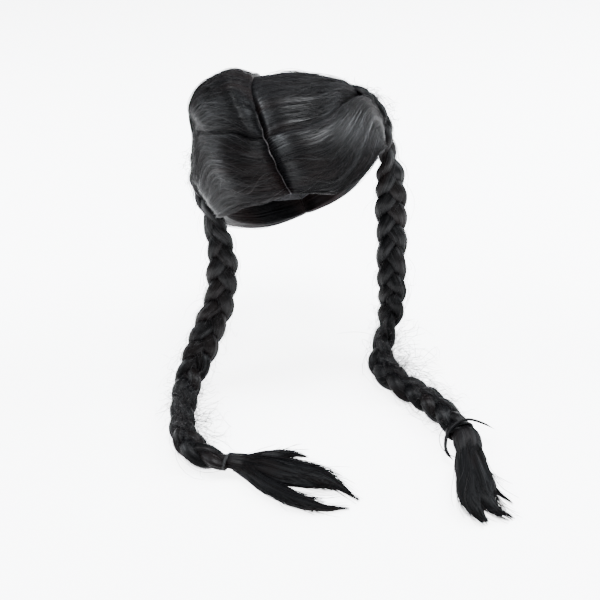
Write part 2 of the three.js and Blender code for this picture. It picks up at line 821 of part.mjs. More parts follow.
// The bundle at the tie, which the tail's locks are fused to
function makeTail(side, way) {
  const { end, at } = tailFrame(way);
  const halfWidth = plaitHalfWidth * end.width;
  const halfThickness = plaitHalfThickness * end.width;
  const head = toSolid(loft(bundle.map(({ along, size }) => {
    const ring = [];
    for (let n = 0; n < tailSides; n += 1) {
      const angle = ((n + 0.5) / tailSides) * 2 * Math.PI;
      ring.push(at(
        along * plaitWidth,
        Math.cos(angle) * halfWidth * size,
        Math.sin(angle) * halfThickness * size,
      ));
    }
    return ring;
  })));
  return tails[side].reduce((solid, rows) => solid.add(makeTailLock(way, rows)), head);
}

// The loose loop of the lock that ties a plait
function makeTieLoop(way) {
  const { at } = tailFrame(way);
  const curve = new THREE.CatmullRomCurve3(tieLoop.map(({ along, across, over }) => at(
    along * plaitWidth,
    across * plaitWidth,
    over * plaitWidth,
  )));
  const rings = [];
  for (let step = 0; step <= loopSteps; step += 1) {
    const even = step / loopSteps;
    const place = even * (tieLoop.length - 1);
    const row = Math.min(Math.floor(place), tieLoop.length - 2);
    const share = THREE.MathUtils.lerp(tieLoop[row].thickness, tieLoop[row + 1].thickness, place - row);
    const across = up.clone().cross(curve.getTangent(even)).normalize();
    const over = curve.getTangent(even).cross(across);
    const ring = [];
    for (let side = 0; side < tieSides; side += 1) {
      const angle = (side / tieSides) * 2 * Math.PI;
      ring.push(curve.getPoint(even)
        .addScaledVector(across, Math.cos(angle) * loopThickness * share / 2)
        .addScaledVector(over, Math.sin(angle) * loopThickness * share / 2));
    }
    rings.push(ring);
  }
  return toSolid(loft(rings));
}

// A ring round the plait just before its end, of an oval section
function makeRing(way, halfLength, halfWall) {
  const { end, at } = tailFrame(way);
  const seat = way.find((station) => station.place.distanceTo(end.place) < 2 * halfLength) ?? end;
  const width = Math.max(seat.width, end.width) * tieRoom;
  const halfWidth = plaitHalfWidth * width + seatGap + halfWall;
  const halfThickness = plaitHalfThickness * width + seatGap + halfWall;
  const grow = 1 / Math.cos(Math.PI / tieSteps);
  const rings = [];
  for (let step = 0; step <= tieSteps; step += 1) {
    const angle = (step / tieSteps) * 2 * Math.PI;
    const ring = [];
    for (let n = 0; n < tieSides; n += 1) {
      const swing = ((n + 0.5) / tieSides) * 2 * Math.PI;
      const wall = halfWall * Math.cos(swing);
      ring.push(at(
        halfLength * (Math.sin(swing) - 1),
        Math.cos(angle) * (halfWidth + wall) * grow,
        Math.sin(angle) * (halfThickness + wall) * grow,
      ));
    }
    rings.push(ring);
  }
  return ringMesh(rings);
}

// Rings that lead back to the first one, joined into a closed hoop
function ringMesh(rings) {
  const sides = rings[0].length;
  const faces = [];
  for (let row = 0; row < rings.length - 1; row += 1) {
    for (let side = 0; side < sides; side += 1) {
      const a = row * sides + side;
      const b = row * sides + ((side + 1) % sides);
      faces.push(a, b, a + sides, b, b + sides, a + sides);
    }
  }
  return closedMesh(rings.flat(), faces);
}

const hair = { color: 0x17171a, roughness: 0.42, metalness: 0 };
const net = { color: 0x101012, roughness: 0.85, metalness: 0 };
const elastic = { color: 0x0c0c0c, roughness: 0.6, metalness: 0 };

const wig = new THREE.Group();

function addPiece(name, geometry, finish) {
  const piece = new THREE.Mesh(geometry, new THREE.MeshStandardMaterial(finish));
  piece.name = name;
  wig.add(piece);
}

addPiece('cap', makeCap(), net);
addPiece('parting_seam', makeSeam(), net);
for (const side of ['left', 'right']) {
  const way = plaitWay(side);
  const envelope = makeEnvelope(way);
  for (const [name, mass] of Object.entries(masses)) {
    if (mass.side === side) addPiece(name, cutBy(makeMass(mass), envelope), hair);
  }
  for (let strand = 0; strand < 3; strand += 1) {
    addPiece(`${side}_plait_strand_${strand + 1}`, makeStrand(way, strand), hair);
  }
  addPiece(`${side}_tail`, fromSolid(makeTail(side, way)), hair);
}

const rightWay = plaitWay('right');
addPiece('right_tie', makeRing(rightWay, elasticThickness / 2, elasticThickness / 2), elastic);
const leftWay = plaitWay('left');
const wrap = toSolid(makeRing(leftWay, wrapWidth / 2, wrapThickness / 2));
addPiece('left_tie', fromSolid(wrap.add(makeTieLoop(leftWay))), hair);

export default wig;
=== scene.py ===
"""A long black wig with a centre parting and two three-strand plaits, combed strand by strand.

Metres, +Z up. The forehead faces -Y and the wearer's left is +X. The origin is the top of the head
hollow. Hair is drawn as finely grooved surfaces that follow the way it is combed, with thin single
hairs over them.
"""

import json
import math

import bpy
import numpy as np
from mathutils import Matrix

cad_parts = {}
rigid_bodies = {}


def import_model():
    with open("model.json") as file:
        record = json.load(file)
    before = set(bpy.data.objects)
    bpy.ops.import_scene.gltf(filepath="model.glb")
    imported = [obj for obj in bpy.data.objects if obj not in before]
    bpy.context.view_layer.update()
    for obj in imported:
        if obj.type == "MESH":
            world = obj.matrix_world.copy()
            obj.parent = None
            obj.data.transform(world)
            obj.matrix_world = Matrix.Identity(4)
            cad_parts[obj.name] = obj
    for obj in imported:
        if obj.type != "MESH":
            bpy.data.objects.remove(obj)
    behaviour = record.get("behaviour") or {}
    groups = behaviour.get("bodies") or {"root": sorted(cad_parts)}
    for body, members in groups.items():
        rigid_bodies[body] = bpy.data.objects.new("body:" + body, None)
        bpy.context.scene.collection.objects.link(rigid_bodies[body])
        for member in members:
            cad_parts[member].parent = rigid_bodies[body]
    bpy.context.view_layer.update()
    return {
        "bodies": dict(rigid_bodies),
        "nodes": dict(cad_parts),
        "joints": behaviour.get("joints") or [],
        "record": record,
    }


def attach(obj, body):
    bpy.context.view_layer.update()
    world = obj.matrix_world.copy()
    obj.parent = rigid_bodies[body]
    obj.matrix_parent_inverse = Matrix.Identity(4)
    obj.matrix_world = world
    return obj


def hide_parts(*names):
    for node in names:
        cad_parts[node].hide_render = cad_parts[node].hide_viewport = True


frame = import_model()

bl_info = {
    "name": "Plaited Wig",
    "version": (1, 0, 0),
    "blender": (4, 5, 0),
    "location": "View3D > Sidebar > Wig",
    "description": "Builds a long black wig with two plaits",
    "category": "Add Mesh",
}

MM = 0.001

UP = np.array([0, 0, 1.0])
LEVEL = np.array([1.0, 1.0, 0])

# ---- Sizes in metres -------------------------------------------------------------------------------

HOLLOW = np.array([0.076, 0.095, 0.090])
TIP = math.radians(-15)
TURN = math.radians(5)
CAP_WALL = 1.6 * MM
LINING_GAP = 1.1 * MM
HAIR_SWELL = 50 * MM
SEAM_WIDTH = 2.2 * MM
SEAM_RISE = 1.2 * MM
SEAM_GAP = 0.06 * MM
PLAIT_WIDTH = 32 * MM
PLAIT_THICKNESS = 19 * MM
WEAVE_LENGTH = 74 * MM
STRAND_SWAY = 0.47
STRAND_RISE = 0.36
PLAIT_REACH = 200 * MM
REST_DROP = 280 * MM
REST_LIFT = 1.18
GROOVE_DEPTH = 3 * MM
GROOVE_REACH = 4 * MM
CLOSING = 0.06
TAIL_LENGTH = 130 * MM
TAIL_THICKNESS = 13 * MM
LOOP_THICKNESS = 2.8 * MM
SEAT_GAP = 0.3 * MM
SEWN_ROW = 9 * MM

# Rise of the parting's two ends in degrees
BROW, NAPE = 19, 232

# How finely the surfaces are drawn: rows along a mass, then places over it, down a wall and under it
SEEN_GRID = (116, 132, 16, 6)
HIDDEN_GRID = (84, 104, 14, 6)
PLAIT_STATIONS = 280
STRAND_CORNERS = 38
HAIR_STEPS = 14

# A tie's turns round the plait: turns, pitch, start along the tail, lift, radius, flatness, steps
ELASTIC_WINDING = (3.2, 0.9 * MM, -3 * MM, 0.2 * MM, 0.55 * MM, 1.0, 260)
LOCK_WINDING = (1.8, 3.2 * MM, -7 * MM, 0.7 * MM, 1.3 * MM, 2.0, 200)

# How many streaks of each width lie side by side in a metre of hair, and how many follow along it
THREADS, STRANDS, LOCKS, CASTS = (2300, 12), (980, 9), (330, 8), (26, 11)

# The camera, and the lights: name, place, what it points at, size, watts, colour
CAMERA_LENS, CAMERA_FILM = 60, 36
CAMERA_TARGET = (0.001, -0.155, -0.142)
CAMERA_DISTANCE = 0.966
CAMERA_TILT = math.radians(33)
CAMERA_ROLL = math.radians(3.6)
LAMPS = (
    ("left_side", (1.5, 0.35, 0.85), (0.1, -0.02, -0.06), 1.2, 100.0, (0.9, 0.95, 1.0)),
    ("right_side", (-1.5, 0.4, 0.85), (-0.1, -0.02, -0.06), 1.2, 80.0, (0.9, 0.95, 1.0)),
    ("top", (0.25, 0.2, 1.6), (0.0, 0.0, 0.0), 1.0, 85.0, (0.94, 0.97, 1.0)),
    ("front", (0.2, -2.2, 1.6), (0.0, -0.2, -0.2), 1.6, 25.0, (1.0, 1.0, 1.0)),
)

# The parting: rise over the brow in degrees, lean to the wearer's left in degrees, swell
PARTING = (
    (19, -1, 0.12), (41, -4, 0.13), (60, -5, 0.17), (79, -5, 0.27), (95, -4, 0.36),
    (110, -1, 0.42), (128, 2, 0.42), (180, 0, 0.3), (232, 0, 0.16),
)

# Where each side's hair gathers: rise, side, swell
POLES = {"left": (19, 78, 0.6), "right": (24, -66, 0.24)}

# Lines from the parting to the pole: share of the way, rise in degrees
LINES = {
    "left": {
        "hairline": ((0, 19), (0.16, 15), (0.32, 10), (0.56, 12), (0.72, 22), (0.88, 29)),
        "crease": (
            (0, 54), (0.24, 54), (0.4, 59), (0.56, 80), (0.64, 101), (0.72, 126), (0.8, 140), (0.88, 148),
        ),
        "plait": ((0, 124), (0.56, 125), (0.72, 134), (0.8, 146), (0.88, 156)),
        "nape": ((0, 232), (0.32, 229), (0.56, 225), (0.72, 222), (0.88, 222)),
    },
    "right": {
        "hairline": ((0, 19), (0.4, 19), (0.56, 16), (0.72, 9), (0.88, -4)),
        "crease": (
            (0, 56), (0.08, 57), (0.24, 70), (0.4, 88), (0.48, 104), (0.56, 111), (0.72, 116), (0.8, 140),
            (0.88, 164),
        ),
        "plait": ((0, 124), (0.24, 129), (0.56, 136), (0.72, 146), (0.8, 160), (0.88, 172)),
        "nape": ((0, 232), (0.32, 230), (0.56, 228), (0.72, 228), (0.88, 232)),
    },
}

# Hair masses: side, front line, back line, how far the combing drifts from front to back, and rows of
# share, swell at the front, in the middle and at the back
MASSES = {
    "left_front_roll": ("left", "hairline", "crease", 0.5, (
        (0.08, 0.14, 0.34, 0.18), (0.16, 0.16, 0.46, 0.24), (0.32, 0.24, 0.62, 0.32),
        (0.56, 0.42, 0.74, 0.48), (0.72, 0.58, 0.82, 0.68), (0.88, 0.62, 0.8, 0.7),
    )),
    "left_crown_roll": ("left", "crease", "plait", 0.0, (
        (0.08, 0.18, 0.36, 0.35), (0.16, 0.22, 0.38, 0.32), (0.32, 0.28, 0.46, 0.38),
        (0.46, 0.36, 0.58, 0.5), (0.56, 0.44, 0.66, 0.57), (0.72, 0.56, 0.62, 0.57),
    )),
    "left_back_fall": ("left", "plait", "nape", 0.0, (
        (0.08, 0.46, 0.38, 0.17), (0.32, 0.48, 0.46, 0.2), (0.56, 0.54, 0.52, 0.24),
        (0.72, 0.58, 0.56, 0.3), (0.88, 0.56, 0.54, 0.4),
    )),
    "right_front_roll": ("right", "hairline", "crease", 0.0, (
        (0.08, 0.13, 0.3, 0.18), (0.24, 0.16, 0.46, 0.28), (0.4, 0.2, 0.59, 0.4),
        (0.56, 0.25, 0.6, 0.5), (0.72, 0.3, 0.59, 0.48), (0.88, 0.36, 0.5, 0.43),
    )),
    "right_crown_roll": ("right", "crease", "plait", 0.0, (
        (0.08, 0.19, 0.69, 0.72), (0.16, 0.23, 0.76, 0.73), (0.24, 0.3, 0.83, 0.77),
        (0.32, 0.36, 0.9, 0.82), (0.4, 0.42, 0.88, 0.79), (0.48, 0.48, 0.73, 0.64),
        (0.56, 0.48, 0.56, 0.52), (0.72, 0.46, 0.5, 0.46), (0.8, 0.43, 0.47, 0.43),
    )),
    "right_back_fall": ("right", "plait", "nape", 0.0, (
        (0.08, 0.65, 0.44, 0.17), (0.32, 0.68, 0.5, 0.2), (0.56, 0.5, 0.48, 0.22),
        (0.72, 0.45, 0.46, 0.26), (0.88, 0.38, 0.41, 0.3),
    )),
}

# Painted sheen of each mass, which lightens its tone and raises its gloss: painted highlight along bands of
# light and painted shade beside the parting. Rows: share, at the front line, in the middle, at the back line
PAINTED_SHEEN = {
    "left_front_roll": (
        (0, 0.1, 0.1, 0.1), (0.04, 0.1, 0.3, 0.3), (0.1, 0.08, 0.5, 0.9), (0.2, 0.04, 0.5, 1.3),
        (0.4, 0.03, 0.5, 1.5), (0.56, 0.3, 1.2, 1.6), (0.7, 0.9, 1.6, 1.4), (0.88, 0.9, 1.2, 0.9),
    ),
    "left_crown_roll": (
        (0, 0.1, 0.1, 0.1), (0.05, 0.3, 0.6, 0.6), (0.1, 0.5, 0.7, 0.8), (0.2, 0.8, 1.3, 1.3),
        (0.4, 0.9, 1.7, 1.6), (0.56, 0.1, 0.6, 0.7), (0.72, 0.1, 0.3, 0.4),
    ),
    "left_back_fall": ((0, 0.4, 0.5, 0.4), (0.5, 0.5, 0.7, 0.5), (0.88, 0.4, 0.4, 0.3)),
    "right_front_roll": (
        (0, 0.1, 0.15, 0.1), (0.1, 0.15, 0.4, 0.3), (0.3, 0.1, 0.7, 0.5), (0.5, 0.35, 1, 0.5),
        (0.72, 0.3, 0.45, 0.28), (0.88, 0.22, 0.3, 0.2),
    ),
    "right_crown_roll": (
        (0, 0.1, 0.1, 0.1), (0.1, 0.2, 0.2, 0.15), (0.3, 0.5, 0.3, 0.2), (0.56, 0.6, 0.4, 0.3),
        (0.8, 0.6, 0.5, 0.4),
    ),
    "right_back_fall": ((0, 0.3, 0.4, 0.3), (0.5, 0.4, 0.6, 0.4), (0.88, 0.4, 0.4, 0.3)),
}

# Plaits. On the head: rise, share, swell, width. Hanging: drop, out, forward, width, facing.
PLAITS = {
    "left": (
        ((122, 0.46, 0.34, 0.5), (124, 0.58, 0.6, 0.85), (129, 0.7, 0.75, 0.92), (140, 0.82, 0.74, 0.88),
         (156, 0.93, 0.65, 0.82)),
        ((0.07, 0.012, -0.02, 0.85, 0.8, 0.6, 0), (0.16, 0.02, 0, 1, 0.3, 1, 0),
         (0.29, 0.02, 0.025, 1.08, 0, 1, 0), (0.44, 0.015, 0.07, 1.06, 0, 1, 0),
         (0.61, 0.01, 0.13, 1.06, -0.2, 1, 0), (0.78, 0, 0.2, 0.96, -0.6, 1, 0.2),
         (0.89, -0.03, 0.265, 0.84, -1, 0.6, 0.4), (0.965, -0.065, 0.335, 0.86, -0.8, 0.5, 0.8),
         (1, -0.075, 0.425, 0.94, -0.3, 0, 1), (1, -0.015, 0.58, 0.98, 0, 0, 1),
         (1, 0.105, 0.73, 0.98, 0, 0, 1), (1, 0.205, 0.885, 0.94, 0, 0, 1), (1, 0.255, 1.025, 0.8, 0, 0, 1)),
    ),
    "right": (
        ((133, 0.44, 0.2, 0.5), (136, 0.58, 0.38, 0.8), (142, 0.72, 0.44, 0.85), (148, 0.84, 0.42, 0.82)),
        ((0.09, 0.02, -0.01, 0.84, 0.7, 0.7, 0), (0.22, 0, 0.01, 0.86, 0, 1, 0),
         (0.41, 0, 0.035, 1.06, 0, 1, 0), (0.6, 0.03, 0.075, 1.04, 0, 1, 0),
         (0.77, 0.1, 0.145, 1.15, 0, 1, 0.2), (0.91, 0.17, 0.235, 1.06, 0, 1, 0.5),
         (0.98, 0.215, 0.33, 0.96, 0, 0.6, 1), (1, 0.23, 0.475, 0.88, 0, 0, 1),
         (1, 0.235, 0.625, 0.8, 0, 0, 1), (1, 0.215, 0.765, 0.86, 0, 0, 1),
         (1, 0.15, 0.895, 0.92, 0, 0, 1), (1, 0.05, 0.97, 0.8, 0, 0, 1), (1, -0.01, 0.99, 0.6, 0, 0, 1)),
    ),
}

# Locks of the loose tails: along, across, width, thickness
TAILS = {
    "left": (
        ((0.05, 0.01, 0.14, 0.8), (0.22, -0.07, 0.19, 1), (0.42, -0.16, 0.22, 1), (0.6, -0.25, 0.22, 0.95),
         (0.74, -0.28, 0.18, 0.75), (0.83, -0.26, 0.1, 0.3)),
        ((0.05, 0, 0.13, 0.9), (0.26, -0.06, 0.2, 1), (0.48, -0.12, 0.23, 1), (0.64, -0.16, 0.21, 0.9),
         (0.76, -0.14, 0.15, 0.5), (0.85, -0.08, 0.07, 0.2)),
        ((0.05, 0.02, 0.12, 0.8), (0.22, 0, 0.13, 0.9), (0.42, -0.05, 0.11, 0.75), (0.57, -0.05, 0.07, 0.5),
         (0.72, 0, 0.02, 0.2)),
    ),
    "right": (
        ((0.04, 0.03, 0.11, 0.8), (0.2, 0.15, 0.11, 0.8), (0.3, 0.2, 0.1, 0.7), (0.42, 0.25, 0.07, 0.5),
         (0.53, 0.26, 0.02, 0.2)),
        ((0.04, 0.02, 0.12, 0.9), (0.25, 0.05, 0.22, 1), (0.46, 0.03, 0.29, 0.95), (0.66, 0.03, 0.26, 0.8),
         (0.84, -0.01, 0.15, 0.5), (1, -0.1, 0.03, 0.2)),
        ((0.04, 0.02, 0.07, 0.8), (0.2, -0.055, 0.125, 0.9), (0.4, -0.16, 0.15, 0.9), (0.6, -0.23, 0.14, 0.8),
         (0.8, -0.25, 0.09, 0.5), (0.95, -0.2, 0.02, 0.2)),
    ),
}

# The loose loop of the left tie, as shares of the plait's width: along, across, over, thickness
TIE_LOOP = (
    (0.41, 0.93, 0.12, 0.4), (0.12, 0.67, 0.24, 0.8), (-0.12, 0.32, 0.33, 1), (-0.14, 0, 0.35, 1),
    (-0.04, -0.37, 0.28, 1), (0.2, -0.65, 0.16, 1), (0.53, -0.81, 0, 1), (0.85, -0.74, -0.16, 0.7),
)

# A hair-thin loop beside it, in the same way
TIE_HAIR = (
    (0.05, -0.3, 0.3, 0.5), (-0.02, -0.6, 0.36, 1), (0.16, -0.86, 0.24, 1), (0.46, -0.9, 0.05, 1),
    (0.78, -0.66, -0.1, 1), (1.02, -0.34, -0.05, 0.5),
)

# The bundle below a tie: along as a share of the plait's width, width and thickness as shares of the
# plait's end, and how far its middle has come down to the locks
BUNDLE = (
    (-0.07, 0.96, 0.96, 0), (0.12, 1.04, 1.06, 0.05), (0.36, 1.16, 1, 0.22), (0.6, 1.14, 0.78, 0.42),
    (0.9, 0.96, 0.5, 0.8), (1.3, 0.5, 0.25, 1),
)

# How much of the seam shows and how deep the groove beside it is on the left and on the right, as
# shares of the groove's depth from the brow to the nape: rise, seam, left, right
SEAM_SHOWN = (
    (19, 1, 1, 1), (50, 1, 1, 0.8), (62, 0.7, 1.6, 0.7), (72, 0.3, 1.7, 0.6), (84, 0.05, 1, 0),
    (108, 0.05, -0.3, -1.8), (128, 0.05, -0.3, -2), (160, 0.5, 0.2, 0.2), (232, 0.8, 0.4, 0.4),
)

# Curly hairs that stand far out of the plaits: first and last share of the way, count, reach, and how
# much they lean to the wearer's left and up
FRIZZ = {
    "left": (
        (0.0, 0.12, 60, 0.014, 0), (0.1, 0.17, 60, 0.018, 0.5), (0.5, 0.64, 60, 0.016, 0.2),
        (0.64, 0.79, 200, 0.046, 1), (0.75, 0.9, 130, 0.026, 0.6), (0.84, 0.99, 150, 0.013, 0.1),
    ),
    "right": (
        (0.0, 0.16, 90, 0.014, 0), (0.4, 0.6, 50, 0.014, 0), (0.58, 0.78, 130, 0.022, 0.1),
        (0.74, 0.9, 190, 0.036, 0.9),
    ),
}


# ---- Numbers ---------------------------------------------------------------------------------------

def smooth(rows, at, column):
    """A table's column at given places, by cubic pieces that never overshoot a row."""
    rows = np.asarray(rows, float)
    x, y = rows[:, 0], rows[:, column]
    gap = np.diff(x)
    slope = np.diff(y) / gap
    lean = np.zeros_like(y)
    lean[0], lean[-1] = slope[0], slope[-1]
    before, after = slope[:-1], slope[1:]
    same = before * after > 0
    first, second = 2 * gap[1:] + gap[:-1], gap[1:] + 2 * gap[:-1]
    safe = np.where(same, before, 1), np.where(same, after, 1)
    lean[1:-1] = np.where(same, (first + second) / (first / safe[0] + second / safe[1]), 0)
    at = np.clip(at, x[0], x[-1])
    k = np.clip(np.searchsorted(x, at, side="right") - 1, 0, len(x) - 2)
    t = (at - x[k]) / gap[k]
    return (
        y[k] * (1 + 2 * t) * (1 - t) ** 2 + y[k + 1] * t * t * (3 - 2 * t)
        + gap[k] * (lean[k] * t * (1 - t) ** 2 - lean[k + 1] * t * t * (1 - t))
    )


def ease(x):
    """0 to 1 with flat ends: 3x^2 - 2x^3."""
    x = np.clip(x, 0, 1)
    return x * x * (3 - 2 * x)


def mixed(a, b, share):
    """The value a share of the way from a to b."""
    return a + (b - a) * share


def unit(vectors):
    """Vectors divided by their lengths."""
    return vectors / np.maximum(np.linalg.norm(vectors, axis=-1, keepdims=True), 1e-12)


def dot(a, b):
    """The sum of the products of each pair of vectors."""
    return np.sum(a * b, axis=-1, keepdims=True)


def full_turn(corners):
    """The angles of so many corners, evenly round a full turn."""
    return np.linspace(0, 2 * math.pi, corners, endpoint=False)


def walked(line):
    """The distance walked along a line up to each of its places."""
    return np.concatenate([[0], np.cumsum(np.linalg.norm(np.diff(line, axis=0), axis=1))])


def as_flow(u, v):
    """A flow map from distances across and along the hair."""
    return np.stack(np.broadcast_arrays(u, v), -1)


def above(places, height):
    """Places held at least a height over the surface that the wig lies on."""
    places[..., 2] = np.maximum(places[..., 2], -REST_DROP + height)
    return places


def scatter(ix, iy, seed):
    """A repeatable number from 0 to 1 for each whole place."""
    n = (ix * 374761393 + iy * 668265263 + seed * 1274126177) & 0xFFFFFFFF
    n = ((n ^ (n >> 13)) * 1274126177) & 0xFFFFFFFF
    return ((n ^ (n >> 16)) & 0xFFFFFF) / 0xFFFFFF


def ripple(x, y, seed):
    """Smooth noise from -1 to 1: the scattered numbers at the four whole places around, eased between."""
    ix, iy = np.floor(x).astype(np.int64), np.floor(y).astype(np.int64)
    fx, fy = ease(x - ix), ease(y - iy)
    low = mixed(scatter(ix, iy, seed), scatter(ix + 1, iy, seed), fx)
    high = mixed(scatter(ix, iy + 1, seed), scatter(ix + 1, iy + 1, seed), fx)
    return 2 * mixed(low, high, fy) - 1


def combing(u, v, seed, layers):
    """Height of combed hair: a sum of round-backed ridges that run along v, one layer for each width."""
    height = np.zeros(np.broadcast(u, v).shape)
    for n, (width, depth, stretch) in enumerate(layers):
        wander = 0.35 * ripple(v / (width * stretch) + 7.3, u / (width * 3), seed + 31 * n + 5)
        wave = ripple(u / width + wander, v / (width * stretch), seed + 17 * n)
        height = height + depth * (np.abs(wave) * 2 - 1)
    return height


# ---- The head and the way hair is combed over it -----------------------------------------------------

def head_turn():
    """The turn of the head's own frame: tipped about the front line and then turned about the upright."""
    ct, st, cz, sz = math.cos(TIP), math.sin(TIP), math.cos(TURN), math.sin(TURN)
    about_y = np.array([[ct, 0, st], [0, 1, 0], [-st, 0, ct]])
    about_z = np.array([[cz, -sz, 0], [sz, cz, 0], [0, 0, 1]])
    return about_z @ about_y


HEAD_TURN = head_turn()


def head_radius(direction):
    """How far the hollow reaches in a direction: 1 over the length of the direction over the half sizes."""
    return 1 / np.linalg.norm(direction / HOLLOW, axis=-1, keepdims=True)


HEAD_MIDDLE = np.array([0, 0, -head_radius(HEAD_TURN.T @ UP)[0]])


def over_head(direction, height):
    """The place at a height over the hollow's ellipsoid in a direction of the head's own frame."""
    reach = head_radius(direction) + np.asarray(height)[..., None]
    return (direction * reach) @ HEAD_TURN.T + HEAD_MIDDLE


def heading(rise, side):
    """A direction from the hollow's middle, by its rise over the brow and its lean to the left."""
    rise, side = np.broadcast_arrays(np.radians(rise), np.radians(side))
    return np.stack([np.sin(side), -np.cos(side) * np.cos(rise), np.cos(side) * np.sin(rise)], -1)


def parting_heading(rise):
    """The parting's direction at a rise."""
    return heading(rise, smooth(PARTING, rise, 1))


def parting_swell(rise):
    """The parting's height over the head at a rise."""
    return HAIR_SWELL * smooth(PARTING, rise, 2)


def comb_arc(side, rise):
    """The angle from the parting at a rise to the side's pole."""
    pole = heading(*POLES[side][:2])
    return np.arccos(np.clip(dot(parting_heading(rise), pole)[..., 0], -1, 1))


def combed(side, rise, share):
    """The direction a share of the great circle from the parting, at a rise, to the side's pole."""
    start, pole = parting_heading(rise), heading(*POLES[side][:2])
    arc = comb_arc(side, rise)
    a = (np.sin((1 - share) * arc) / np.sin(arc))[..., None]
    b = (np.sin(share * arc) / np.sin(arc))[..., None]
    return start * a + pole * b


def drift(name, share):
    """How far across a mass the combing has moved at a share of the way."""
    return MASSES[name][3] * ease(share / 0.95)


def roll_place(name, share, across, sink=0.0, outset=0.0, lift=0.0):
    """A place on a hair mass.

    share runs from the parting to the pole and across from the front line to the back line. The height
    over the head is a straight mix of both edges plus an arch of sqrt(4 a (1 - a)). sink takes it down
    to the lining, outset pushes it out past its line and lift raises it, in metres.
    """
    side, front, back, _, rows = MASSES[name]
    first = smooth(LINES[side][front], share, 1)
    last = smooth(LINES[side][back], share, 1)
    rise = mixed(first, last, across) + np.degrees(outset / HOLLOW[1])
    low, middle, high = (smooth(rows, share, column) for column in (1, 2, 3))
    arch = np.sqrt(np.clip(4 * across * (1 - across), 0, 1))
    height = HAIR_SWELL * (mixed(low, high, across) + (middle - (low + high) / 2) * arch)
    held = np.clip(rise, BROW, NAPE)
    reach = HOLLOW[1] * comb_arc(side, held)
    groove = smooth(SEAM_SHOWN, rise, 2 if side == "left" else 3)
    spread = np.where(groove < 0, 3 * GROOVE_REACH, GROOVE_REACH)
    groove = groove * np.exp(-(share * reach / spread) ** 2)
    seam_height = parting_swell(held) - GROOVE_DEPTH * groove
    height = mixed(seam_height, height, 1 - np.exp(-(share / 0.065) ** 2))
    foot = CAP_WALL + LINING_GAP
    end = rows[-1][0]
    closing = np.clip((share - end + 0.09) / (0.09 + CLOSING), 0, 1)
    height = foot + (height - foot) * np.sqrt(np.clip(1 - closing ** 2, 0, 1))
    height = mixed(height, foot, sink) + lift
    return over_head(combed(side, rise, np.maximum(share, SEAM_GAP / reach)), height)


# ---- The plaits' middle lines ------------------------------------------------------------------------

def curve_through(points, steps):
    """A Catmull-Rom curve with centripetal spacing: places, and how many rows on each place is."""
    points = np.asarray(points, float)
    points = np.vstack([2 * points[0] - points[1], points, 2 * points[-1] - points[-2]])
    places, spots = [], []
    for k in range(len(points) - 3):
        p0, p1, p2, p3 = points[k:k + 4]
        d0, d1, d2 = (max(np.linalg.norm(b - a), 1e-9) ** 0.5 for a, b in ((p0, p1), (p1, p2), (p2, p3)))
        t1 = ((p1 - p0) / d0 - (p2 - p0) / (d0 + d1) + (p2 - p1) / d1) * d1
        t2 = ((p2 - p1) / d1 - (p3 - p1) / (d1 + d2) + (p3 - p2) / d2) * d1
        t = np.linspace(0, 1, steps, endpoint=k == len(points) - 4)[:, None]
        places.append(
            p1 * (1 + 2 * t) * (1 - t) ** 2 + p2 * t * t * (3 - 2 * t)
            + t1 * t * (1 - t) ** 2 - t2 * t * t * (1 - t)
        )
        spots.append(k + t[:, 0])
    return np.vstack(places), np.concatenate(spots)


def plait_way(side):
    """A plait's middle line at even steps: places, the frame that travels along it, widths and turns."""
    hand = 1 if side == "left" else -1
    on_head, hanging = PLAITS[side]
    root = over_head(heading(*POLES[side][:2]), HAIR_SWELL * POLES[side][2])
    rest = -REST_DROP + PLAIT_THICKNESS / 2 * REST_LIFT
    places, widths, faces = [], [], []
    for rise, share, swell, width in on_head:
        out = combed(side, np.array(float(rise)), np.array(share))
        places.append(over_head(out, HAIR_SWELL * swell))
        widths.append(width)
        faces.append(HEAD_TURN @ out)
    for drop, out, forward, width, fx, fy, fz in hanging:
        places.append(np.array([
            root[0] + hand * out * PLAIT_REACH,
            root[1] - forward * PLAIT_REACH,
            mixed(root[2], rest, drop),
        ]))
        widths.append(width)
        faces.append(np.array([hand * fx, -fy, fz]))
    line, spots = curve_through(places, 60)
    length = walked(line)
    even = np.linspace(0, length[-1], PLAIT_STATIONS)
    place = np.stack([np.interp(even, length, line[:, n]) for n in range(3)], -1)
    spot = np.interp(even, length, spots)
    row = np.minimum(spot.astype(int), len(widths) - 2)
    share = ease(spot - row)
    widths, faces = np.array(widths), np.array(faces)
    facing = mixed(faces[row], faces[row + 1], share[:, None])
    ahead = unit(np.gradient(place, axis=0))
    across = unit(np.cross(ahead, facing))
    return {
        "place": place,
        "ahead": ahead,
        "across": across,
        "facing": unit(np.cross(across, ahead)),
        "width": mixed(widths[row], widths[row + 1], share),
        "turn": even * 2 * math.pi / WEAVE_LENGTH + 0.32 * ripple(even / (40 * MM), even * 0, 12 + hand),
        "even": even,
    }


def strand_frame(way, strand):
    """A strand's middle line, which swings as sin t across the plait and as sin 2t over it, and the
    two directions square to it."""
    phase = way["turn"] + strand * 2 * math.pi / 3
    x = PLAIT_WIDTH / 2 * STRAND_SWAY * np.sin(phase) * way["width"]
    y = PLAIT_THICKNESS / 2 * STRAND_RISE * np.sin(2 * phase) * way["width"]
    line = way["place"] + way["across"] * x[:, None] + way["facing"] * y[:, None]
    ahead = unit(np.gradient(line, axis=0))
    over = unit(way["facing"] - ahead * dot(way["facing"], ahead))
    return line, ahead, np.cross(ahead, over), over


# ---- Meshes ------------------------------------------------------------------------------------------

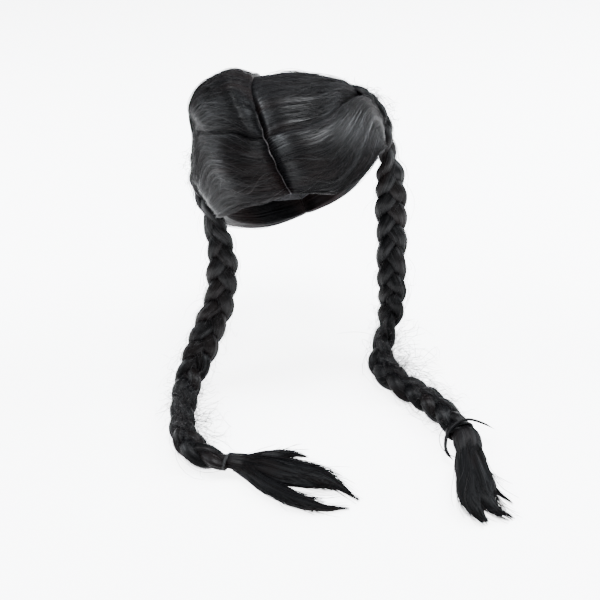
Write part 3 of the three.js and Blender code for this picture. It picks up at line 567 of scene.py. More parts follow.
def make_piece(name, points, faces, flow, material, slot, replaces=(), painted_sheen=0.7):
    """A mesh object from arrays, with its flow map in metres and the painted sheen of each point, which
    lightens the tone and raises the gloss.
    """
    quads, threes = (np.concatenate([face for face in faces if face.shape[1] == n]) for n in (4, 3))
    loops = np.concatenate([quads.ravel(), threes.ravel()]).astype(np.int32)
    sizes = np.concatenate([np.full(len(quads), 4), np.full(len(threes), 3)])
    starts = np.concatenate([[0], np.cumsum(sizes)[:-1]])
    mesh = bpy.data.meshes.new(name)
    mesh.vertices.add(len(points))
    mesh.vertices.foreach_set("co", points.astype(np.float32).ravel())
    mesh.loops.add(len(loops))
    mesh.loops.foreach_set("vertex_index", loops)
    mesh.polygons.add(len(sizes))
    mesh.polygons.foreach_set("loop_start", starts.astype(np.int32))
    mesh.polygons.foreach_set("use_smooth", np.ones(len(sizes), bool))
    layer = mesh.uv_layers.new(name="Flow")
    layer.data.foreach_set("uv", flow[loops].astype(np.float32).ravel())
    # Each point's painted sheen, painted highlight and shade that the finish reads
    gloss = mesh.attributes.new("PaintedSheen", "FLOAT", "POINT")
    gloss.data.foreach_set("value", np.broadcast_to(painted_sheen, len(points)).astype(np.float32))
    mesh.update(calc_edges=True)
    mesh.validate()
    mesh.materials.append(material)
    piece = bpy.data.objects.new(name, mesh)
    bpy.context.scene.collection.objects.link(piece)
    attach(piece, "root")
    if replaces:
        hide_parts(*replaces)
    return piece


def outward(grid):
    """Unit normals of a grid of rings, from its own steps along and around."""
    along = np.gradient(grid, axis=0)
    around = np.roll(grid, -1, axis=1) - np.roll(grid, 1, axis=1)
    normal = unit(np.cross(around, along))
    middle = grid.mean(axis=1, keepdims=True)
    side = np.sign(np.sum(normal * (grid - middle)))
    return normal * (side or 1)


def facing_out(points, faces):
    """Faces turned so that the volume inside them is positive."""
    halves = ((0, 1, 2), (0, 2, 3))
    threes = np.vstack([face[:, half] for face in faces for half in halves[:face.shape[1] - 2]])
    a, b, c = (points[threes[:, n]] - points.mean(0) for n in range(3))
    inside_out = np.sum(a * np.cross(b, c)) < 0
    return [f[:, ::-1] for f in faces] if inside_out else faces


def ovals(line, beside, over, wide, thick, angle):
    """Rings round a line: each place plus cos(angle) wide along beside and sin(angle) thick along over."""
    return (
        line[:, None] + beside * (np.cos(angle)[None] * wide[:, None])[..., None]
        + over * (np.sin(angle)[None] * thick[:, None])[..., None]
    )


def ring_grid(grid, flow):
    """Points, faces and flow of rings joined into a skin, closed by a fan at both ends."""
    rows, columns = grid.shape[:2]
    row, column = np.meshgrid(np.arange(rows - 1), np.arange(columns), indexing="ij")
    a = row * columns + column
    b = row * columns + (column + 1) % columns
    quads = np.stack([a, b, b + columns, a + columns], -1).reshape(-1, 4)
    points, maps = grid.reshape(-1, 3), flow.reshape(-1, 2)
    hubs = np.stack([grid[0].mean(0), grid[-1].mean(0)])
    around = np.arange(columns)
    after = (around + 1) % columns
    start = np.stack([np.full(columns, rows * columns), after, around], -1)
    last = (rows - 1) * columns
    end = np.stack([np.full(columns, rows * columns + 1), last + around, last + after], -1)
    points = np.vstack([points, hubs])
    maps = np.vstack([maps, flow[0].mean(0), flow[-1].mean(0)])
    return points, facing_out(points, [quads, start, end]), maps


def joined(parts):
    """Several sets of points, faces and flow put into one."""
    points, faces, maps, total = [], [], [], 0
    for p, f, m in parts:
        points.append(p)
        faces.extend(face + total for face in f)
        maps.append(m)
        total += len(p)
    return np.vstack(points), faces, np.vstack(maps)


def hairs(paths, radius, offset=0.0):
    """Many thin tapering tubes at once: a ring of three corners round each place of each path, with a
    radius that goes as the root of a sine from end to end."""
    sides = 3
    count, steps = paths.shape[:2]
    ahead = unit(np.gradient(paths, axis=1))
    lean = np.where(np.abs(ahead[:, :1, 2:]) > 0.8, np.array([1.0, 0, 0]), UP)
    side = unit(np.cross(ahead, lean))
    over = np.cross(side, ahead)
    taper = np.sin(np.pi * np.linspace(0.04, 0.96, steps)) ** 0.5
    reach = (np.asarray(radius).reshape(-1, 1) * taper)[..., None, None]
    angle = full_turn(sides)
    ring = (
        side[:, :, None] * np.cos(angle)[None, None, :, None]
        + over[:, :, None] * np.sin(angle)[None, None, :, None]
    )
    points = (paths[:, :, None] + ring * reach).reshape(-1, 3)
    hair, step, corner = np.meshgrid(np.arange(count), np.arange(steps - 1), np.arange(sides), indexing="ij")
    a = (hair * steps + step) * sides + corner
    b = (hair * steps + step) * sides + (corner + 1) % sides
    quads = np.stack([a, b, b + sides, a + sides], -1).reshape(-1, 4)
    base = (np.arange(count) * steps * sides)[:, None]
    start = base + np.arange(sides)[None, ::-1]
    end = base + (steps - 1) * sides + np.arange(sides)[None]
    length = np.cumsum(np.linalg.norm(np.diff(paths, axis=1, prepend=paths[:, :1]), axis=-1), axis=1)
    spread = scatter(np.arange(count), np.full(count, 3), 11)[:, None] + offset
    flow = np.repeat(as_flow(spread, length)[:, :, None], sides, axis=2).reshape(-1, 2)
    return points, facing_out(points, [quads, start, end]), flow


def strew(name, paths, thin, thick, chance, material, offset=0.0, painted_sheen=0.7):
    """A piece of single hairs along paths, from thin to thick as shares of the set thickness."""
    radius = chance.uniform(thin, thick, len(paths)) * bpy.context.scene.wig_sizes.hair_thickness
    return make_piece(name, *hairs(paths, radius, offset), material, "hair", painted_sheen=painted_sheen)


# ---- Finishes ----------------------------------------------------------------------------------------

class Value:
    """A number in a material that varies over the surface. Arithmetic on it adds Math nodes."""

    def __init__(self, finish, socket):
        self.finish = finish
        self.socket = socket

    def __add__(self, other):
        return self.finish.maths("ADD", self, other)

    __radd__ = __add__

    def __sub__(self, other):
        return self.finish.maths("SUBTRACT", self, other)

    def __rsub__(self, other):
        return self.finish.maths("SUBTRACT", other, self)

    def __mul__(self, other):
        return self.finish.maths("MULTIPLY", self, other)

    __rmul__ = __mul__


class Finish:
    """A material that is put together node by node."""

    def __init__(self, name):
        self.material = bpy.data.materials.new(name)
        self.material.use_nodes = True
        self.tree = self.material.node_tree
        self.tree.nodes.clear()
        self.shader = self.node("ShaderNodeBsdfPrincipled")
        output = self.node("ShaderNodeOutputMaterial")
        self.tree.links.new(self.shader.outputs[0], output.inputs["Surface"])

    def node(self, kind, settings=None, values=None):
        """A node of a type, with its settings made first and then the values or links of its sockets."""
        node = self.tree.nodes.new(kind)
        for name, setting in (settings or {}).items():
            setattr(node, name, setting)
        for name, value in (values or {}).items():
            self.feed(node.inputs[name], value)
        return node

    def feed(self, socket, value):
        """Links a value or an output to a socket, or sets a number, vector or colour on it."""
        if isinstance(value, Value):
            value = value.socket
        if isinstance(value, bpy.types.NodeSocket):
            self.tree.links.new(value, socket)
        elif socket.type == "RGBA":
            socket.default_value = (*value[:3], 1.0)
        else:
            socket.default_value = value

    def maths(self, operation, *values):
        """The value of a Math node."""
        node = self.node("ShaderNodeMath", {"operation": operation}, dict(enumerate(values)))
        return Value(self, node.outputs[0])

    def flow(self, across, along, offset=0.0):
        """The piece's flow map, with so many repeats in a metre across and along the hair."""
        uv = self.node("ShaderNodeUVMap", {"uv_map": "Flow"}).outputs[0]
        return self.node("ShaderNodeVectorMath", {"operation": "MULTIPLY_ADD"}, {
            0: uv, 1: (across, along, 1.0), 2: (offset, offset, 0.0),
        }).outputs[0]

    def painted_sheen(self):
        """The piece's painted sheen at a point: painted highlight and shade."""
        return Value(self, self.node("ShaderNodeAttribute", {"attribute_name": "PaintedSheen"}).outputs["Fac"])

    def noise(self, vector, detail):
        """Smooth noise over a vector's first two parts, with so many finer layers."""
        node = self.node("ShaderNodeTexNoise", {"noise_dimensions": "2D"}, {
            "Vector": vector, "Scale": 1.0, "Detail": detail, "Roughness": 0.5,
        })
        return Value(self, node.outputs[0])

    def spread(self, value, low, high):
        """A value from low to high, taken to the range 0 to 1 and held there."""
        node = self.node("ShaderNodeMapRange", {"clamp": True}, {
            "Value": value, "From Min": low, "From Max": high, "To Min": 0.0, "To Max": 1.0,
        })
        return Value(self, node.outputs[0])

    def colours(self, share, low, high):
        """A colour that goes from low to high with the share."""
        return self.node("ShaderNodeMix", {"data_type": "RGBA"}, {0: share, 6: low, 7: high}).outputs[2]

    def bump(self, height, strength, distance):
        """A normal that follows a height, which is so many metres tall where it is 1."""
        return self.node("ShaderNodeBump", {}, {
            "Height": height, "Strength": strength, "Distance": distance,
        }).outputs[0]

    def set(self, **values):
        """The material, after its shader's sockets are set by name."""
        for name, value in values.items():
            self.feed(self.shader.inputs[name.replace("_", " ")], value)
        return self.material


def hair_finish(name, dark, light, warm, roughness, shine):
    """Fine synthetic hair: streaks of several widths along the flow, in tone, gloss and height. The painted
    sheen of each point lightens the tone and raises the gloss as a painted highlight, and darkens it as
    painted shade where it is low.
    """
    known = bpy.data.materials.get(name)
    if known:
        return known
    finish = Finish(name)
    thread = finish.noise(finish.flow(*THREADS), 1.0)
    strand = finish.noise(finish.flow(*STRANDS, 3.1), 1.0)
    lock = finish.noise(finish.flow(*LOCKS, 8.7), 1.0)
    cast = finish.noise(finish.flow(*CASTS, 5.2), 2.0)
    streak = thread * 0.33 + strand * 0.42 + lock * 0.25
    painted_sheen = finish.painted_sheen()
    # Painted light: the tone goes towards the light colour only as far as the painted sheen allows
    base = finish.colours(finish.spread(streak, 0.38, 0.66) * (0.3 + 0.7 * painted_sheen), dark, light)
    tinted = finish.colours(finish.spread(cast, 0.5, 0.7) * 0.8, base, warm)
    rough = roughness - 0.05 + 0.2 * finish.spread(strand, 0.3, 0.7)
    gloss = (0.4 + 0.66 * finish.spread(streak, 0.36, 0.72)) * painted_sheen * shine
    height = thread * 0.3 + strand * 0.6 + lock * 0.8
    return finish.set(
        Base_Color=tinted, Roughness=rough, Normal=finish.bump(height, 1.0, 0.001),
        IOR=1.5, Specular_IOR_Level=0.03, Coat_Weight=gloss, Coat_Roughness=0.36,
    )


def seam_finish(colour):
    """The woven skin of a parting: a pale thread over dark hair, with small stitches along it."""
    finish = Finish("parting_weave")
    stitch = finish.noise(finish.flow(900, 900), 2.0)
    wear = finish.noise(finish.flow(120, 60, 4.0), 3.0)
    base = finish.colours(finish.spread(wear, 0.42, 0.62), (0.006, 0.005, 0.006), colour)
    return finish.set(
        Base_Color=base, Roughness=0.75 + 0.1 * stitch, Normal=finish.bump(stitch, 0.5, 0.0004),
    )


def net_finish(colour):
    """Stretch net: a mesh of fine cells on the cap's own places, with rows of sewn hair every 9 mm."""
    finish = Finish("cap_net")
    place = finish.node("ShaderNodeTexCoord").outputs["Object"]
    parts = finish.node("ShaderNodeSeparateXYZ", {}, {"Vector": place})
    height = Value(finish, parts.outputs["Z"])
    cells = finish.node("ShaderNodeTexVoronoi", {"feature": "DISTANCE_TO_EDGE"}, {
        "Vector": place, "Scale": 620.0,
    })
    thread = finish.spread(Value(finish, cells.outputs[0]), 0.04, 0.16)
    rows = finish.spread(finish.maths("SINE", height * (2 * math.pi / SEWN_ROW)), 0.55, 0.95)
    holes = thread * (1 - rows)
    base = finish.colours(holes, (0.05, 0.05, 0.054), colour)
    relief = (1 - thread) * 0.5 + rows * 1.6
    return finish.set(
        Base_Color=base, Roughness=0.9 - 0.25 * rows, Normal=finish.bump(relief, 0.8, 0.0006),
    )


def elastic_finish(colour):
    """A thin elastic band: fine ribs round it with a little dust."""
    finish = Finish("tie_elastic")
    rib = finish.noise(finish.flow(2200, 240), 1.0)
    dust = finish.noise(finish.flow(300, 300, 2.0), 3.0)
    base = finish.colours(finish.spread(dust, 0.45, 0.75), colour, (0.02, 0.02, 0.021))
    return finish.set(
        Base_Color=base, Roughness=0.6 + 0.15 * dust, Specular_IOR_Level=0.12,
        Normal=finish.bump(rib, 0.6, 0.0004),
    )


def floor_finish(colour):
    """A pale matt surface with a faint mottle, lit from within as an overexposed backdrop is."""
    finish = Finish("pale_floor")
    place = finish.node("ShaderNodeTexCoord").outputs["Object"]
    mottle = finish.noise(place, 2.0)
    base = finish.colours(mottle, tuple(0.985 * c for c in colour), colour)
    return finish.set(Base_Color=base, Roughness=0.9, Emission_Color=colour, Emission_Strength=5.0)


# ---- Hair on the head --------------------------------------------------------------------------------

ROLL_LAYERS = ((15 * MM, 0.45 * MM, 7), (6 * MM, 0.34 * MM, 13), (2.7 * MM, 0.26 * MM, 20))
PLAIT_LAYERS = ((7 * MM, 0.5 * MM, 7), (3 * MM, 0.34 * MM, 12), (1.5 * MM, 0.18 * MM, 20))
TAIL_LAYERS = ((6 * MM, 0.6 * MM, 14), (2.6 * MM, 0.4 * MM, 20), (1.3 * MM, 0.2 * MM, 30))


def roll_rings(name, rows, top, walls, under):
    """A hair mass as rings, with its flow and its painted sheen, which is nothing on the walls and underneath
    as painted shade.

    A ring goes over the top from the front line to the back line, down the back wall, under and up the
    front wall. Both walls curl under as 1 - sqrt(1 - d^2) of the way down.
    """
    end = MASSES[name][4][-1][0] + CLOSING - 0.001
    share = (end * np.linspace(0, 1, rows) ** 1.4)[:, None]
    over = np.linspace(0, math.pi, top, endpoint=False)
    down = np.linspace(0, 1, walls, endpoint=False)
    back = np.linspace(1, 0, under, endpoint=False)
    across = np.concatenate([(1 - np.cos(over)) / 2, np.ones(walls), back, np.zeros(walls)])
    sink = np.concatenate([np.zeros(top), down, np.ones(under), 1 - down])
    curl = 1 - np.sqrt(np.clip(1 - down ** 2, 0, 1))
    turned = np.concatenate([np.zeros(top), -curl, 1 - 2 * back, curl[::-1]])
    room = np.minimum(share / 0.2, 1) * 3.2 * MM
    grid = roll_place(name, share, across[None], sink[None], turned[None] * room)
    middle = grid[rows // 2]
    steps = np.linalg.norm(np.diff(middle, axis=0, append=middle[:1]), axis=1)
    around = np.concatenate([[0], np.cumsum(steps)[:-1]])
    width = around[top]
    moved = drift(name, share)
    own = (across[None] - moved) / (1 - moved)
    column = np.arange(len(across))
    on_top = column < top
    front = column >= top + walls + under
    total = around[-1] + steps[-1]
    u = np.where(on_top[None], own * width, around[None])
    u = np.where(front[None], own * width - (total - around[None]), u)
    along = np.linalg.norm(np.diff(grid[:, top // 2], axis=0, prepend=grid[:1, top // 2]), axis=1)
    v = np.broadcast_to(np.cumsum(along)[:, None], u.shape)
    # Painted light from the painted sheen table over the top; nothing on the walls and underneath, a painted
    # shade
    low, middle, high = (smooth(PAINTED_SHEEN[name], share, column) for column in (1, 2, 3))
    painted_sheen = mixed(mixed(low, middle, ease(2 * across)), high, ease(2 * across - 1)) * on_top
    return grid, np.stack([u, v], -1), painted_sheen


def make_roll(name, material, seed):
    """A hair mass, with the relief of combed hair pushed out along its normals."""
    grid, flow, painted_sheen = roll_rings(name, *(HIDDEN_GRID if name.endswith("fall") else SEEN_GRID))
    fade = np.minimum(np.linspace(0, 1, len(grid)) * 12, 1)[:, None]
    relief = combing(flow[..., 0], flow[..., 1], seed, ROLL_LAYERS) * fade
    grid = grid + outward(grid) * relief[..., None]
    points, faces, maps = ring_grid(grid, flow + seed)
    painted_sheen = np.concatenate([painted_sheen.ravel(), [0, 0]])
    return make_piece(f"{name}_hair", points, faces, maps, material, "hair", (name,), painted_sheen)


def roll_hairs(name, count, chance, stray=0.0):
    """Single hairs that follow the combing of a mass, a little over it.

    Each sways across as a sine of the share, and bows up as half a sine. stray, from 0 to 1, is the least
    that each one wanders.
    """
    end = MASSES[name][4][-1][0]
    last = float(drift(name, end))
    own = chance.uniform(-0.9 * last / (1 - last) if last else 0.01, 0.99, count)
    trial = np.linspace(0, end, 60)
    entry = np.interp(np.clip(-own / (1 - own), 0, None), drift(name, trial) + trial * 1e-6, trial)
    start = np.maximum(entry, chance.uniform(0, 1, count) ** 2 * 0.6 * end)
    finish = np.minimum(start + chance.uniform(0.25, 0.9, count), end)
    share = mixed(start[:, None], finish[:, None], np.linspace(0, 1, HAIR_STEPS)[None])
    moved = drift(name, share)
    phase = chance.uniform(0, 2 * math.pi, (count, 1))
    unruly = mixed(chance.uniform(0, 1, (count, 1)) ** 3.4, 1, stray)
    waves = chance.uniform(4, 14, (count, 1))
    sway = (chance.normal(0, 0.012, (count, 1)) + 0.14 * unruly) * np.sin(share * waves + phase)
    sway = sway * (1 - 0.8 * ease(share / end))
    across = np.clip(own[:, None] * (1 - moved) + moved + sway, 0.004, 0.996)
    bow = unruly * np.sin(np.linspace(0, math.pi, HAIR_STEPS))[None]
    lift = 0.1 * MM + chance.uniform(0, 0.7 * MM, (count, 1))
    lift = lift + bow * chance.uniform(1 * MM, 5 * MM, (count, 1))
    return roll_place(name, share, across, lift=lift)


def hairline_wisps(name, count, chance):
    """Short hairs along the front line that bow out from it as half a sine and bend back to the plait."""
    end = MASSES[name][4][-1][0]
    run = np.linspace(0, 1, HAIR_STEPS)[None]
    start = chance.uniform(0.02, 0.85, (count, 1)) * end
    share = np.minimum(start + chance.uniform(0.08, 0.34, (count, 1)) * run, end + 0.04)
    loose = chance.uniform(0, 1, (count, 1)) ** 2.5
    bow = np.sin(run * math.pi) * (0.3 + 0.7 * run)
    outset = -(0.3 * MM + loose * 7 * MM * bow * ease(share / 0.5))
    across = chance.uniform(0.0, 0.03, (count, 1)) + 0 * run
    lift = chance.uniform(-0.5 * MM, 1 * MM, (count, 1)) + loose * bow * chance.normal(0, 2 * MM, (count, 1))
    return roll_place(name, share, across, outset=outset, lift=lift)


# ---- Settings ----------------------------------------------------------------------------------------

def count_setting(name, description, default, most):
    """A whole number of hairs, from none to most."""
    return bpy.props.IntProperty(name=name, description=description, default=default, min=0, max=most)


def length_setting(name, description, default, least, most):
    """A length in metres."""
    return bpy.props.FloatProperty(
        name=name, description=description, default=default, min=least, max=most,
        subtype="DISTANCE", unit="LENGTH", precision=5,
    )


def colour_setting(name, description, default):
    """A colour of three parts."""
    return bpy.props.FloatVectorProperty(
        name=name, description=description, default=default, min=0, max=1, subtype="COLOR", size=3,
    )


class WigSizes(bpy.types.PropertyGroup):
    """Numbers of hairs and sizes that a user would change"""

    hair_thickness: length_setting("Hair Thickness", "Thickness of a drawn hair", 0.00034, 0.0001, 0.002)
    hairs_on_roll: count_setting("Hairs on a Roll", "Single hairs drawn over each combed roll", 420, 1200)
    strays_on_roll: count_setting("Strays on a Roll", "Hairs that wander over each combed roll", 40, 200)
    hairline_wisps: count_setting("Hairline Wisps", "Short hairs along each side's front line", 240, 800)
    hairs_on_plait: count_setting("Hairs on a Plait", "Single hairs that work loose from it", 640, 2000)
    hairs_in_tail: count_setting("Hairs in a Tail", "Single hairs in each loose tail", 820, 1800)
    strand_width: length_setting("Strand Width", "Half width of a plait's strand", 0.0088, 0.004, 0.012)
    strand_thickness: length_setting(
        "Strand Thickness", "Half thickness of a plait's strand", 0.0066, 0.003, 0.01,
    )


class WigColours(bpy.types.PropertyGroup):
    """Colours that a user would change"""

    dark: colour_setting("Dark Hair", "The darkest hairs", (0.0009, 0.0009, 0.0011))
    light: colour_setting("Light Hair", "The lightest hairs", (0.0068, 0.007, 0.008))
    warm: colour_setting("Warm Cast", "The brown cast of some locks", (0.0075, 0.0045, 0.0042))
    seam: colour_setting("Parting Seam", "The thread along the parting", (0.046, 0.043, 0.043))
    net: colour_setting("Net", "The cap inside the hair", (0.012, 0.012, 0.013))
    elastic: colour_setting("Elastic", "The thin elastic tie", (0.008, 0.008, 0.008))
    floor: colour_setting("Floor", "The plain surface below", (0.96, 0.96, 0.965))


# The hair's finishes: name, roughness, gloss, and how much of the set tones is kept. The plaits and tails
# keep less, a painted shade that makes them darker than the combed hair.
COMBED = ("combed_hair", 0.37, 0.55, 0.85)
SINGLE = ("single_hair", 0.4, 0.6, 0.85)
PLAITED = ("plaited_hair", 0.42, 0.12, 0.42)
TAIL = ("loose_tail_hair", 0.46, 0.09, 0.6)


def wig_hair(colours, name, roughness, gloss, depth):
    """The wig's hair in one of its finishes."""
    tones = (tuple(depth * part for part in tone) for tone in (colours.dark, colours.light, colours.warm))
    return hair_finish(name, *tones, roughness, gloss)


# ---- Operators ---------------------------------------------------------------------------------------

class WIG_OT_stage(bpy.types.Operator):
    """Sets the pale floor, the soft lights and the camera"""

    bl_idname = "wig.stage"
    bl_label = "Stage"

    def execute(self, context):
        scene = context.scene
        colours = scene.wig_colours
        level = -REST_DROP
        corners = np.array([[-6, -4, level], [6, -4, level], [6, 9, level], [-6, 9, level]], float)
        mesh = bpy.data.meshes.new("floor")
        mesh.from_pydata(corners.tolist(), [], [(0, 1, 2, 3)])
        mesh.materials.append(floor_finish(tuple(colours.floor)))
        floor = bpy.data.objects.new("floor", mesh)
        scene.collection.objects.link(floor)

        world = bpy.data.worlds.new("studio")
        world.use_nodes = True
        glow = world.node_tree.nodes["Background"]
        glow.inputs["Color"].default_value = (0.95, 0.97, 1.0, 1.0)
        glow.inputs["Strength"].default_value = 0.5
        scene.world = world

        for name, place, target, size, power, colour in LAMPS:
            light = bpy.data.lights.new(name, "AREA")
            light.shape = "DISK"
            light.size = size
            light.energy = power
            light.color = colour
            lamp = bpy.data.objects.new(name, light)
            ahead = unit(np.array(target) - np.array(place))
            lamp.matrix_world = aimed(np.array(place), ahead, 0.0)
            scene.collection.objects.link(lamp)

        target = np.array(CAMERA_TARGET)
        back = np.array([0, -math.cos(CAMERA_TILT), math.sin(CAMERA_TILT)])
        camera = bpy.data.cameras.new("camera")
        camera.sensor_width = CAMERA_FILM
        camera.lens = CAMERA_LENS
        camera.clip_start = 0.02
        camera.clip_end = 50
        eye = bpy.data.objects.new("camera", camera)
        eye.matrix_world = aimed(target + CAMERA_DISTANCE * back, -back, CAMERA_ROLL)
        scene.collection.objects.link(eye)
        scene.camera = eye
        return {"FINISHED"}


def aimed(place, ahead, roll):
    """A matrix that looks along a direction, rolled about it."""
    right = unit(np.cross(ahead, UP))
    up = np.cross(right, ahead)
    rolled = right * math.cos(roll) - up * math.sin(roll)
    risen = right * math.sin(roll) + up * math.cos(roll)
    matrix = np.eye(4)
    matrix[:3, 0], matrix[:3, 1], matrix[:3, 2], matrix[:3, 3] = rolled, risen, -ahead, place
    return Matrix(matrix.tolist())


class WIG_OT_cap(bpy.types.Operator):
    """Finishes the net cap that lines the wig"""

    bl_idname = "wig.cap"
    bl_label = "Net Cap"

    def execute(self, context):
        cap = frame["nodes"]["cap"]
        finish = net_finish(tuple(context.scene.wig_colours.net))
        for slot in cap.material_slots:
            slot.material = finish
        return {"FINISHED"}


class WIG_OT_parting(bpy.types.Operator):
    """Sews the raised seam along the parting"""

    bl_idname = "wig.parting"
    bl_label = "Parting Seam"

    def execute(self, context):
        rise = np.linspace(BROW, NAPE, 420)
        angle = full_turn(12)
        middle = parting_heading(rise)
        sunk = np.minimum(smooth(SEAM_SHOWN, rise, 2), 1)
        line = over_head(middle, parting_swell(rise) - GROOVE_DEPTH * 0.55 * sunk)
        out = unit(over_head(middle, parting_swell(rise) + 0.01) - line)
        ahead = unit(np.gradient(line, axis=0))
        side = np.cross(ahead, out)
        along = walked(line)
        stitch = np.sin(along * 2 * math.pi / (3.1 * MM))
        lumps = 1 + 0.3 * stitch + 0.5 * ripple(along / (5 * MM), along * 0, 5)
        wander = 0.9 * MM * ripple(along / (9 * MM), along * 0, 9)
        shown = smooth(SEAM_SHOWN, rise, 1)
        half, tall = SEAM_WIDTH * 0.22 * lumps * shown, SEAM_RISE * 0.75 * lumps * shown
        line = line + side * wander[:, None]
        grid = ovals(line, side[:, None], out[:, None], half, tall, angle)
        flow = as_flow(np.abs(angle - math.pi)[None] * SEAM_WIDTH / 2, along[:, None])
        weave = seam_finish(tuple(context.scene.wig_colours.seam))
        make_piece("parting_seam_thread", *ring_grid(grid, flow), weave, "net", ("parting_seam",))
        return {"FINISHED"}


class WIG_OT_rolls(bpy.types.Operator):
    """Combs the hair masses from the parting to the plaits, with single hairs over them"""

    bl_idname = "wig.rolls"
    bl_label = "Combed Rolls"

    def execute(self, context):
        sizes, colours = context.scene.wig_sizes, context.scene.wig_colours
        hair = wig_hair(colours, *COMBED)
        loose = wig_hair(colours, *SINGLE)
        chance = np.random.default_rng(21)
        for n, name in enumerate(MASSES):
            make_roll(name, hair, 3 + 7 * n)
            hidden = name.endswith("fall")
            paths = [roll_hairs(name, sizes.hairs_on_roll // (2 if hidden else 1), chance)]
            if name.endswith("front_roll"):
                paths.append(hairline_wisps(name, sizes.hairline_wisps, chance))
            strew(f"{name}_single_hairs", np.vstack(paths), 0.3, 0.55, chance, loose, n * 2.0)
            strays = roll_hairs(name, sizes.strays_on_roll, chance, 0.7)
            strew(f"{name}_strays", strays, 0.4, 0.75, chance, loose, n * 2.0, 1.0)
        return {"FINISHED"}


class WIG_OT_plaits(bpy.types.Operator):
    """Weaves both plaits from three strands each, with hairs that have worked loose"""

    bl_idname = "wig.plaits"
    bl_label = "Plaits"

    def execute(self, context):
        sizes, colours = context.scene.wig_sizes, context.scene.wig_colours
        hair = wig_hair(colours, *PLAITED)
        loose = wig_hair(colours, *SINGLE)
        chance = np.random.default_rng(5)
        angle = full_turn(STRAND_CORNERS)
        for side in ("left", "right"):
            way = plait_way(side)
            frames = [strand_frame(way, strand) for strand in range(3)]
            for strand, (line, _, beside, over) in enumerate(frames):
                uneven = ripple(way["even"] / (21 * MM), way["even"] * 0 + strand, 44)
                wide = sizes.strand_width * way["width"] * (1.01 + 0.11 * uneven)
                thick = sizes.strand_thickness * way["width"] * (1.01 - 0.09 * uneven)
                grid = ovals(line, beside[:, None], over[:, None], wide, thick, angle)
                seed = 60 + strand * 9 + (side == "right") * 40
                u = np.abs(angle - math.pi)[None] * sizes.strand_width + seed
                flow = as_flow(u, way["even"][:, None])
                relief = combing(flow[..., 0] - seed, flow[..., 1], seed, PLAIT_LAYERS)
                grid = grid + outward(grid) * relief[..., None]
                name = f"{side}_plait_strand_{strand + 1}"
                # Painted highlight and shade: a strand's sheen is high where it lies on top of the plait and
                # low where it dives under the others
                swing = np.sin(2 * (way["turn"] + strand * 2 * math.pi / 3))
                painted_sheen = ease(0.34 + 0.62 * swing[:, None] * np.sin(angle)[None]) * 1.3
                painted_sheen = np.concatenate([painted_sheen.ravel(), [0, 0]])
                make_piece(f"{name}_hair", *ring_grid(grid, flow), hair, "hair", (name,), painted_sheen)
            paths = loose_from_plait(way, frames, sizes, chance)
            strew(f"{side}_plait_loose_hairs", paths, 0.32, 0.6, chance, loose, painted_sheen=0.3)
            paths = np.vstack([frizz(way, row, chance) for row in FRIZZ[side]])
            strew(f"{side}_plait_frizz", paths, 0.32, 0.6, chance, loose, painted_sheen=0.3)
        return {"FINISHED"}


def loose_from_plait(way, frames, sizes, chance):
    """Hairs that follow a strand and then bend away from it as a power of their own length, most of them
    where the plait starts and towards its end."""
    count, steps = sizes.hairs_on_plait, 11
    line, beside, over = (np.stack([frame[n] for frame in frames]) for n in (0, 2, 3))
    strand = chance.integers(0, 3, count)
    near_root = chance.uniform(0, 1, count) < 0.16
    start = np.where(near_root, chance.uniform(0, 0.16, count), chance.uniform(0.05, 1, count) ** 0.7)
    start = (start * (PLAIT_STATIONS - 30)).astype(int)
    run = np.linspace(0, 1, steps)[None]
    at = np.clip(start[:, None] + chance.uniform(12, 36, (count, 1)) * run, 0, PLAIT_STATIONS - 1)
    low = np.floor(at).astype(int)
    high = np.minimum(low + 1, PLAIT_STATIONS - 1)
    share = (at - low)[..., None]

    def pick(table):
        """Each hair's places in a table of the three strands."""
        return mixed(table[strand[:, None], low], table[strand[:, None], high], share)

    angle = chance.uniform(0, 2 * math.pi, (count, 1)) + chance.normal(0, 0.7, (count, 1)) * run
    wild = chance.uniform(0, 1, (count, 1)) ** 1.9
    lift = wild * run ** 1.6 * 14 * MM
    curl = wild * run * 2.6 * MM * np.sin(run * chance.uniform(3, 13, (count, 1)) + angle)
    width = mixed(way["width"][low], way["width"][high], share[..., 0])
    x = np.cos(angle) * (sizes.strand_width * width * 1.04 + lift) + curl
    y = np.sin(angle) * (sizes.strand_thickness * width * 1.05 + lift)
    return above(pick(line) + pick(beside) * x[..., None] + pick(over) * y[..., None], 0.4 * MM)


def frizz(way, row, chance):
    """Long curly hairs that stand out of a stretch of a plait: each leaves along a slanting direction,
    bends with its own curls, whose size grows along it, and sags a little."""
    first, last, count, reach, lean = row
    station = (chance.uniform(first, last, count) * (PLAIT_STATIONS - 1)).astype(int)
    ahead, across, facing = (way[name][station][:, None] for name in ("ahead", "across", "facing"))
    angle = chance.uniform(0, 2 * math.pi, (count, 1, 1))
    out = across * np.cos(angle) + facing * np.sin(angle)
    out = unit(out + np.array([0.9, 0.3, 0.7]) * lean + 0.2 * UP)
    skin = PLAIT_WIDTH / 2 * way["width"][station][:, None, None] * (0.82 - 0.3 * np.abs(np.sin(angle)))
    run = np.linspace(0, 1, 20)[None, :, None]
    length = reach * chance.uniform(0.35, 1.3, (count, 1, 1))
    way_out = unit(out + ahead * chance.normal(0, 0.8, (count, 1, 1)))
    turns = chance.uniform(2, 11, (count, 1, 1))
    size = length * chance.uniform(0.05, 0.2, (count, 1, 1)) * run ** 0.8
    first_side = unit(np.cross(way_out, ahead + 0.1))
    second_side = np.cross(way_out, first_side)
    curl = (np.sin(run * turns + angle) - np.sin(angle)) * first_side
    curl = curl + np.cos(run * turns * 1.3 + angle * 2) * second_side
    places = way["place"][station][:, None] + out * skin + way_out * length * run + curl * size * 1.6
    return above(places - UP * (run ** 2 * length * 0.3), 0.4 * MM)


def tail_frame(way):
    """The plait's end and the directions along, across and over a tail that lies on the surface."""
    end = way["place"][-1]
    ahead = unit(way["ahead"][-1] * LEVEL)
    return end, ahead, np.cross(UP, ahead)


